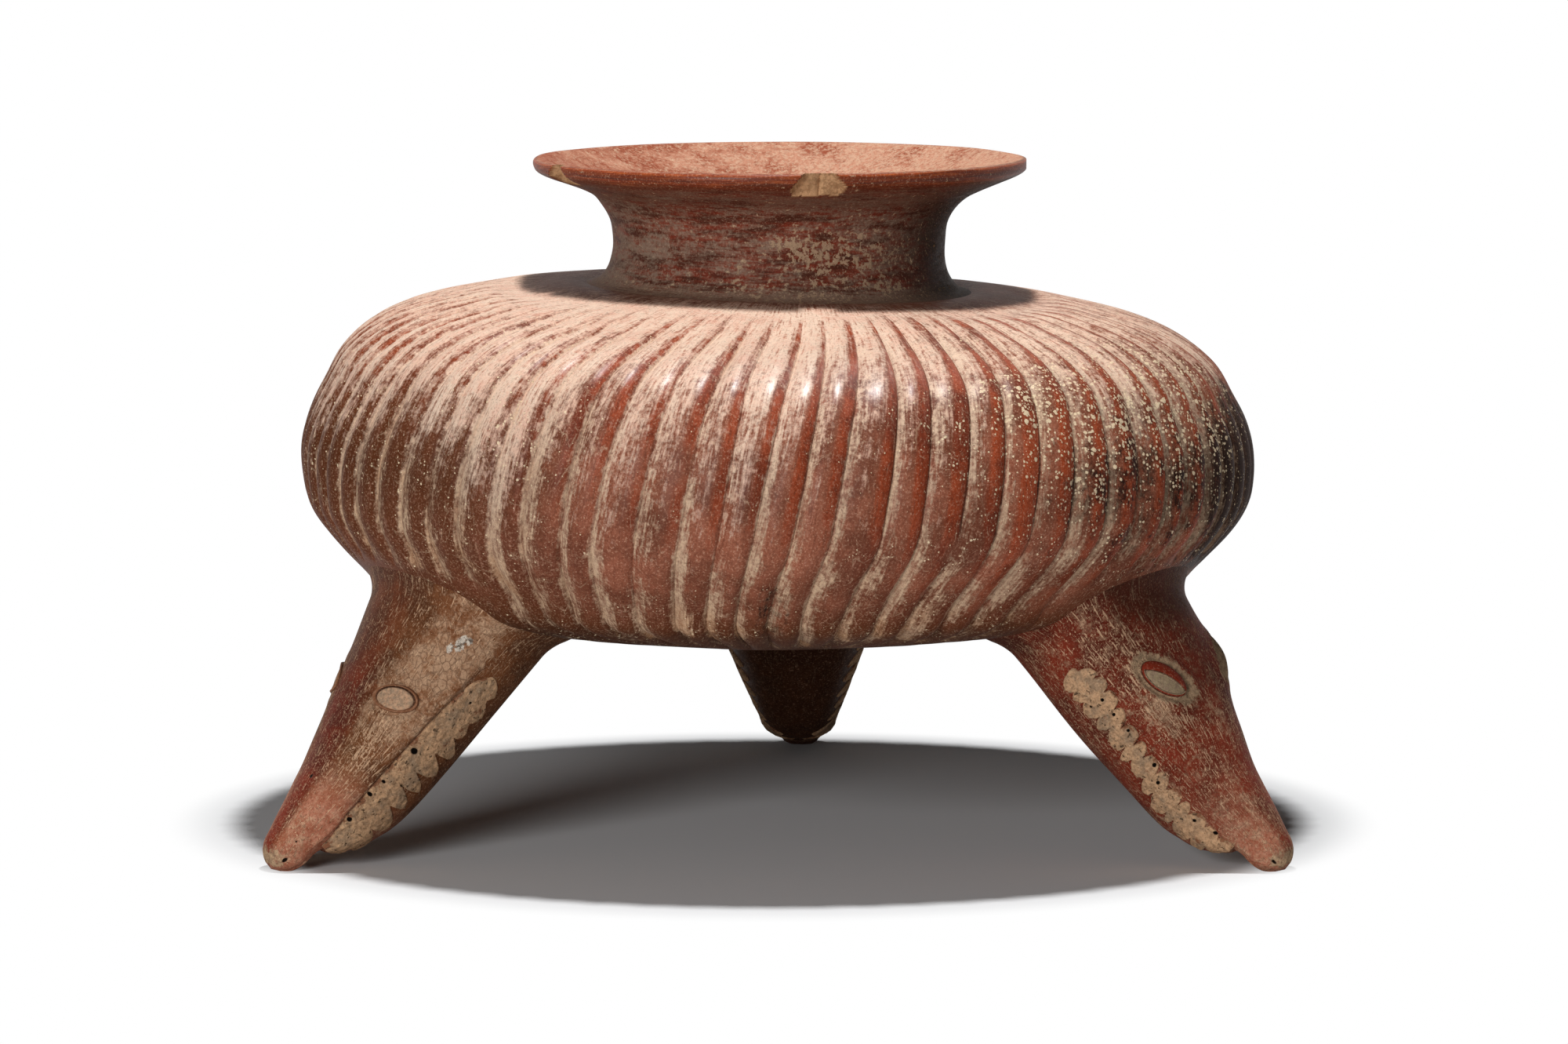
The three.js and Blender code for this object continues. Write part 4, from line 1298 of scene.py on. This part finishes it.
def root_cap(ring):
    """Rings from a root's edge to its middle that keep just under the surface of the body, and the pole."""
    middle = ring.mean(0)
    weights = 1 - np.arange(ROOT_RINGS + 1) / ROOT_RINGS
    rings = middle + (ring - middle) * weights[:, None, None]
    distance, body = body_distance(rings)
    rings = rings - body * (distance[..., None] + ROOT_DEPTH)
    return rings[:-1], rings[-1, 0]


def modelled(start, rows, angles, leg, swell=None):
    """Skin of a head from a start to the body, with relief and smeared root, its masks, and its stations.
    Angles gives the angle of each column for the angle of the mouth plane."""
    root_edge = float(parting_angle(np.array([100.0]))[0])
    ends = root_station(angles(root_edge), leg.azimuth)
    station = start + (ends - start) * rows[:, None]
    angle = angles(parting_angle(station))
    height = relief(station, angle, leg)
    if swell:
        height = height + swell(station, angle)
    normal = head_normal(station, angle)
    placed, gap = smear(head_skin(station, angle) + normal * height[..., None], normal, leg.azimuth)
    return placed, head_fields(station, angle, leg, gap), station


def across_mouth(placed):
    """Points of the mouth plane between the last and the first column of a half head."""
    return placed[:, -1:] + (placed[:, :1] - placed[:, -1:]) * FLAT_MIX[None, :, None]


def close_head(node, leg, rings, fields, tip):
    """Closes a head or jaw in the body's wall and at its tip, flattens the foot, and makes the piece."""
    caps, pole = root_cap(rings[-1])
    rings = np.concatenate([rings, caps])
    rings[..., 2] = np.maximum(rings[..., 2], 0)
    tip = np.maximum(tip, (-np.inf, -np.inf, 0))
    mesh = shell(rings, [tip, pole])
    piece(node, mesh, HEADS[leg.lidded], grow(fields, after=len(caps)), sharp=60)


def make_head(name, leg):
    """Upper part of a head, with a flat underside along the mouth plane, and round below at the tip."""
    columns = np.linspace(1, -1, 171)
    placed, fields, station = modelled(0.35, HEAD_ROWS, lambda limit: columns * limit, leg)
    low_station = station[:, :1] + (station[:, -1:] - station[:, :1]) * (1 - FLAT_MIX)
    limit = parting_angle(low_station)
    angle = -limit - (math.pi - limit) * 2 * FLAT_MIX
    low_skin = head_skin(low_station, angle) + head_normal(low_station, angle) * 0.1
    blend = smooth(JAW_START - 2.8, JAW_START - 0.6, low_station)[..., None]
    under = to_pot(low_skin, leg.azimuth) * (1 - blend) + across_mouth(placed) * blend
    rings = np.concatenate([placed, under], axis=1)
    fields = grow(fields, after=len(FLAT_MIX), axis=1)
    close_head(name + "_head", leg, rings, fields, to_pot(np.zeros(3), leg.azimuth))


def make_jaw(name, leg):
    """Lower jaw: the same skin below the mouth plane, with a rounded chin."""
    columns = np.linspace(-1, 1, 101)
    side = np.where(columns < 0, -1, 1)

    def angles(limit):
        return side * (limit + (math.pi - limit) * (1 - np.abs(columns)))

    placed, fields, _ = modelled(JAW_START - 0.5, JAW_ROWS, angles, leg, chin_swell)
    rings = np.concatenate([placed, across_mouth(placed)], axis=1)
    middle = rings[0].mean(0)
    forward = head_axes(leg.azimuth)[1][2] * -1.6
    reach = np.sqrt(1 - (1 - CHIN_MIX) ** 2)[:, None, None]
    chin = middle + (rings[0] - middle) * reach + forward * (1 - CHIN_MIX)[:, None, None]
    fields = grow(grow(fields, after=len(FLAT_MIX), axis=1), before=len(chin))
    close_head(name + "_jaw", leg, np.concatenate([chin, rings]), fields, middle + forward)


def make_teeth(node, leg, side):
    """A strip of teeth: thin clay on the skin, scalloped along its margins, sandy, with round pits."""
    rows = np.linspace(BAND_START, BAND_END, 241)[:, None]
    top, low = band_margins(rows, leg)
    across = np.linspace(0, 1, 37)
    angle = top + (low - top) * across
    station = rows + 0 * angle
    inset = np.minimum(across, 1 - across) * (low - top) * head_width(rows)
    inset = np.minimum(inset, 1.5 * np.minimum(rows - BAND_START, BAND_END - rows))
    height = 0.05 + 0.5 * np.sqrt(np.clip(1 - (1 - np.clip(inset / 0.9, 0, 1)) ** 2, 0, 1))
    height = height + 0.12 * ripple(leg.seed + 50, angle * 6, station / 9, 12, 12, 1.5)
    pit = spots(station, angle, leg.pits, power=4, spread=1.15)
    height = height - 0.4 * pit + chin_swell(station, angle)
    skin, normal = head_skin(station, side * angle), head_normal(station, side * angle)
    rings = np.concatenate([skin + normal * height[..., None], (skin - normal * 1.2)[:, ::-1]], axis=1)
    trace = 0.2 + 0.15 * ripple(leg.seed + 60, angle * 3, station / 20, 6, 8, 1.0)
    fields = {"pit": pit, "trace": trace + 0.25 * fall(0.3, 1.6, inset)}
    fields = {name: np.pad(mask, ((0, 0), (0, len(across)))) for name, mask in fields.items()}
    if side > 0:
        rings = rings[:, ::-1]
        fields = {name: mask[:, ::-1] for name, mask in fields.items()}
    placed = to_pot(rings, leg.azimuth)
    placed[..., 2] = np.maximum(placed[..., 2], 0)
    poles = [placed[0].mean(0), placed[-1].mean(0)]
    piece(node, shell(placed, poles), BARE, fields, sharp=70)


def lidded_eye(rho, psi):
    """Height added to an eye's pad, its slipped lid and the painted shade of its grooves, where a lid
    overhangs the upper half along a curved slit. Rho is the share of the way out, and psi the angle round."""
    slit = rho * np.sin(psi) + 0.42 * (rho * np.cos(psi)) ** 2
    lid = smooth(0.16, 0.25, slit)
    lower = (1 - lid) * smooth(0.88, 0.93, rho)
    added = 0.5 * lid * (1 - rho**5) + 0.3 * lower * fall(0.95, 1.0, rho)
    added = added - 0.4 * (1 - lid) * fall(0.8, 0.9, rho)
    rim = 0.9 * bump(0.20, 0.05, slit) * (rho < 0.93)
    rim = rim + 0.7 * bump(0.87, 0.03, rho) * (1 - lid)
    return added, np.maximum(lid, 0.8 * smooth(0.9, 0.95, rho)), rim


def ringed_eye(rho, psi):
    """The same for an eye with a raised ring round a flat middle, and a groove between them."""
    groove, up = bump(0.79, 0.06, rho), np.sin(psi)
    added = 0.5 * bump(0.91, 0.07, rho) - 0.9 * groove * (0.6 + 0.4 * up)
    lid = smooth(0.74, 0.84, rho) * (0.75 + 0.25 * up) + 0.26
    # The groove's painted shade is stronger on its upper side
    return added - 0.2 * fall(0.5, 0.75, rho), lid, 1.5 * groove * (0.65 + 0.35 * up)


def make_eye(node, leg, side):
    """An eye: an oval pad that follows the skin, steep at its outline."""
    eye = leg.eyes[side]
    rho = np.r_[0.04, np.linspace(0.1, 0.7, 12), np.linspace(0.73, 1.0, 18)][:, None]
    psi = np.arange(96) * 2 * math.pi / 96
    rho, psi = np.broadcast_arrays(rho, psi)
    slant = math.radians(eye.slant)
    long, short = rho * np.cos(psi), rho * np.sin(psi)
    around = eye.long * long * math.cos(slant) - eye.wide * short * math.sin(slant)
    station = eye.station + eye.long * long * math.sin(slant) + eye.wide * short * math.cos(slant)
    angle = math.radians(eye.degrees) + around / (head_width(station) * EYE_GIRTH)
    added, lid, rim = (lidded_eye if leg.lidded else ringed_eye)(rho, psi)
    # Painted shade round the eye's outline, where it meets the skin
    rim = np.maximum(rim, smooth(0.95, 1.0, rho))
    height = eye.height * (1 - rho**7) ** 0.5 + added + eye.dome * bump(0, 1.45, rho) - 0.25
    skin, normal = head_skin(station, side * angle), head_normal(station, side * angle)
    rings = np.concatenate([skin + normal * height[..., None], skin[-1:] - normal[-1:] * 1.6])
    fields = grow({"lid": lid, "rim": rim}, after=1)
    centre = (eye.station, side * math.radians(eye.degrees))
    at, out = head_skin(*centre), head_normal(*centre)
    poles = [at + out * height[0].mean(), at - out * 1.9]
    if side > 0:
        rings, poles = rings[::-1], poles[::-1]
        fields = {name: mask[::-1] for name, mask in fields.items()}
    rings, *poles = (to_pot(points, leg.azimuth) for points in (rings, *poles))
    piece(node, shell(rings, poles), EYES[leg.lidded], fields, sharp=70)


# An eye's place from the snout tip, degrees from the crown, slant, height, half length and half width, and
# the height of the bulge under it. Holes, chalky spots and pits: station, degrees from the crown, radius.
Eye = namedtuple("Eye", "station degrees slant height long wide dome")
Leg = namedtuple("Leg", "azimuth lidded masks seed eyes holes chalk pits")
LEGS = {
    "front_left": Leg(
        math.radians(210), False, left_masks, 3,
        {1: Eye(69, 45, 23, 0.35, EYE_LONG, EYE_WIDE, 1.0), -1: Eye(68, 54, 12, EYE_HEIGHT, 10.3, 4.9, 0)},
        [(3.9, -79, 1.3), (11, -68, 0.6), (32.7, -7.3, 1.0)],
        [(94.8, -73, 3.4), (91.5, -68, 2.2), (97, -78, 2.0)],
        [(58.0, 100, 1.1), (44.0, 99, 0.55), (38.0, 98, 0.7), (27.5, 103, 0.8), (82.0, 107, 0.5),
         (47.0, 112, 0.5)],
    ),
    "front_right": Leg(
        math.radians(329.7), True, right_masks, 4,
        {1: Eye(73, 39, 48, 1.8, EYE_LONG, EYE_WIDE, 0), -1: Eye(76, 43, 48, 0.5, EYE_LONG, EYE_WIDE, 3.9)},
        [(3.1, 76.2, 1.1)],
        [],
        [(79.0, 96, 0.6), (80.0, 106, 0.5), (73.0, 97, 0.6), (66.0, 97, 0.55), (52.0, 100, 0.7),
         (47.0, 108, 0.65), (44.0, 101, 0.6), (30.0, 112, 0.6), (22.5, 112, 0.8)],
    ),
    "rear": Leg(
        math.radians(87.6), False, rear_masks, 5,
        {side: Eye(70, 46, 40, EYE_HEIGHT, EYE_LONG, EYE_WIDE, 0) for side in (1, -1)},
        [(4.0, 70, 1.0)],
        [],
        [(60.0, 104, 0.8), (40.0, 102, 0.6)],
    ),
}

make_body()
make_neck()
for leg_name, facts in LEGS.items():
    make_head(leg_name, facts)
    make_jaw(leg_name, facts)
    for side_name, side_sign in (("right", 1), ("left", -1)):
        make_teeth(f"{leg_name}_teeth_{side_name}", facts, side_sign)
        make_eye(f"{leg_name}_eye_{side_name}", facts, side_sign)


# Floor, light and camera, in metres and watts where not named otherwise

FLOOR_SIZE = 30.0
FLOOR_PAINT = (0.78, 0.79, 0.8, 1)
WHITE = (1, 1, 1, 1)
SHADOW_MIDDLE = (-0.002, -0.005, 0)
SHADOW_EDGE = (0.186, 0.215)
WORLD_LEVEL = 0.03
CAMERA_LENS = 163.3
CAMERA_SENSOR = 36
CAMERA_PITCH = math.radians(6.70)
CAMERA_PLACE = (1.77, -2470.1, 396.97)


def floor_material():
    """Pale floor that keeps the shadow. Beyond the shadow the camera sees it as plain white."""
    g = Graph(bpy.data.materials.new("pale_floor"))
    offset = g.vector("SUBTRACT", g.place(), SHADOW_MIDDLE)
    away = g.node("ShaderNodeVectorMath", {"operation": "LENGTH"}, {0: offset}, "Value")
    white = g.node("ShaderNodeEmission", {}, {"Color": WHITE, "Strength": 1.0})
    matt = g.node("ShaderNodeBsdfDiffuse", {}, {"Color": FLOOR_PAINT})
    seen = away.step(*SHADOW_EDGE) * g.background_rays()
    return g.output(g.node("ShaderNodeMixShader", {}, {0: seen, 1: matt, 2: white}))


def make_floor():
    """A level floor that reaches FLOOR_SIZE each way."""
    data = bpy.data.meshes.new("floor")
    corners = [(x * FLOOR_SIZE, y * FLOOR_SIZE, 0) for x, y in ((-1, -1), (1, -1), (1, 1), (-1, 1))]
    data.from_pydata(corners, [], [(0, 1, 2, 3)])
    data.materials.append(floor_material())
    floor = bpy.data.objects.new("floor", data)
    bpy.context.scene.collection.objects.link(floor)


def make_world():
    """White where it is seen, and a faint light on the object."""
    g = Graph(bpy.data.worlds.new("studio"))
    ambient = g.node("ShaderNodeBackground", {}, {"Color": WHITE, "Strength": WORLD_LEVEL})
    white = g.node("ShaderNodeBackground", {}, {"Color": WHITE, "Strength": 1.0})
    mixed = g.node("ShaderNodeMixShader", {}, {0: g.background_rays(), 1: ambient, 2: white})
    bpy.context.scene.world = g.output(mixed, "ShaderNodeOutputWorld")


def lamp(name, place, target, size, power):
    """A round area lamp at a place in the pot's frame, in millimetres, that faces a target."""
    data = bpy.data.lights.new(name, "AREA")
    data.shape = "DISK"
    data.size = size
    data.energy = power
    obj = bpy.data.objects.new(name, data)
    place, target = np.array(place) * MM + AXIS, np.array(target) * MM + AXIS
    obj.location = place
    obj.rotation_euler = Vector(target - place).to_track_quat("-Z", "Y").to_euler()
    bpy.context.scene.collection.objects.link(obj)


def make_camera():
    """The camera that took the photo, as fitted to the pot's outlines."""
    data = bpy.data.cameras.new("camera")
    data.lens = CAMERA_LENS
    data.sensor_width = CAMERA_SENSOR
    data.clip_end = 100
    camera = bpy.data.objects.new("camera", data)
    camera.location = np.array(CAMERA_PLACE) * MM + AXIS
    camera.rotation_euler = (math.pi / 2 - CAMERA_PITCH, 0, 0)
    bpy.context.scene.collection.objects.link(camera)
    bpy.context.scene.camera = camera


make_floor()
lamp("key", (18.6, -97, 1100), (18.6, -97, 0), 0.09, 10.1)
lamp("fill", (-900, -2000, 620), (0, 0, 110), 0.9, 29.0)
make_world()
make_camera()
bpy.context.scene.view_settings.view_transform = "Standard"
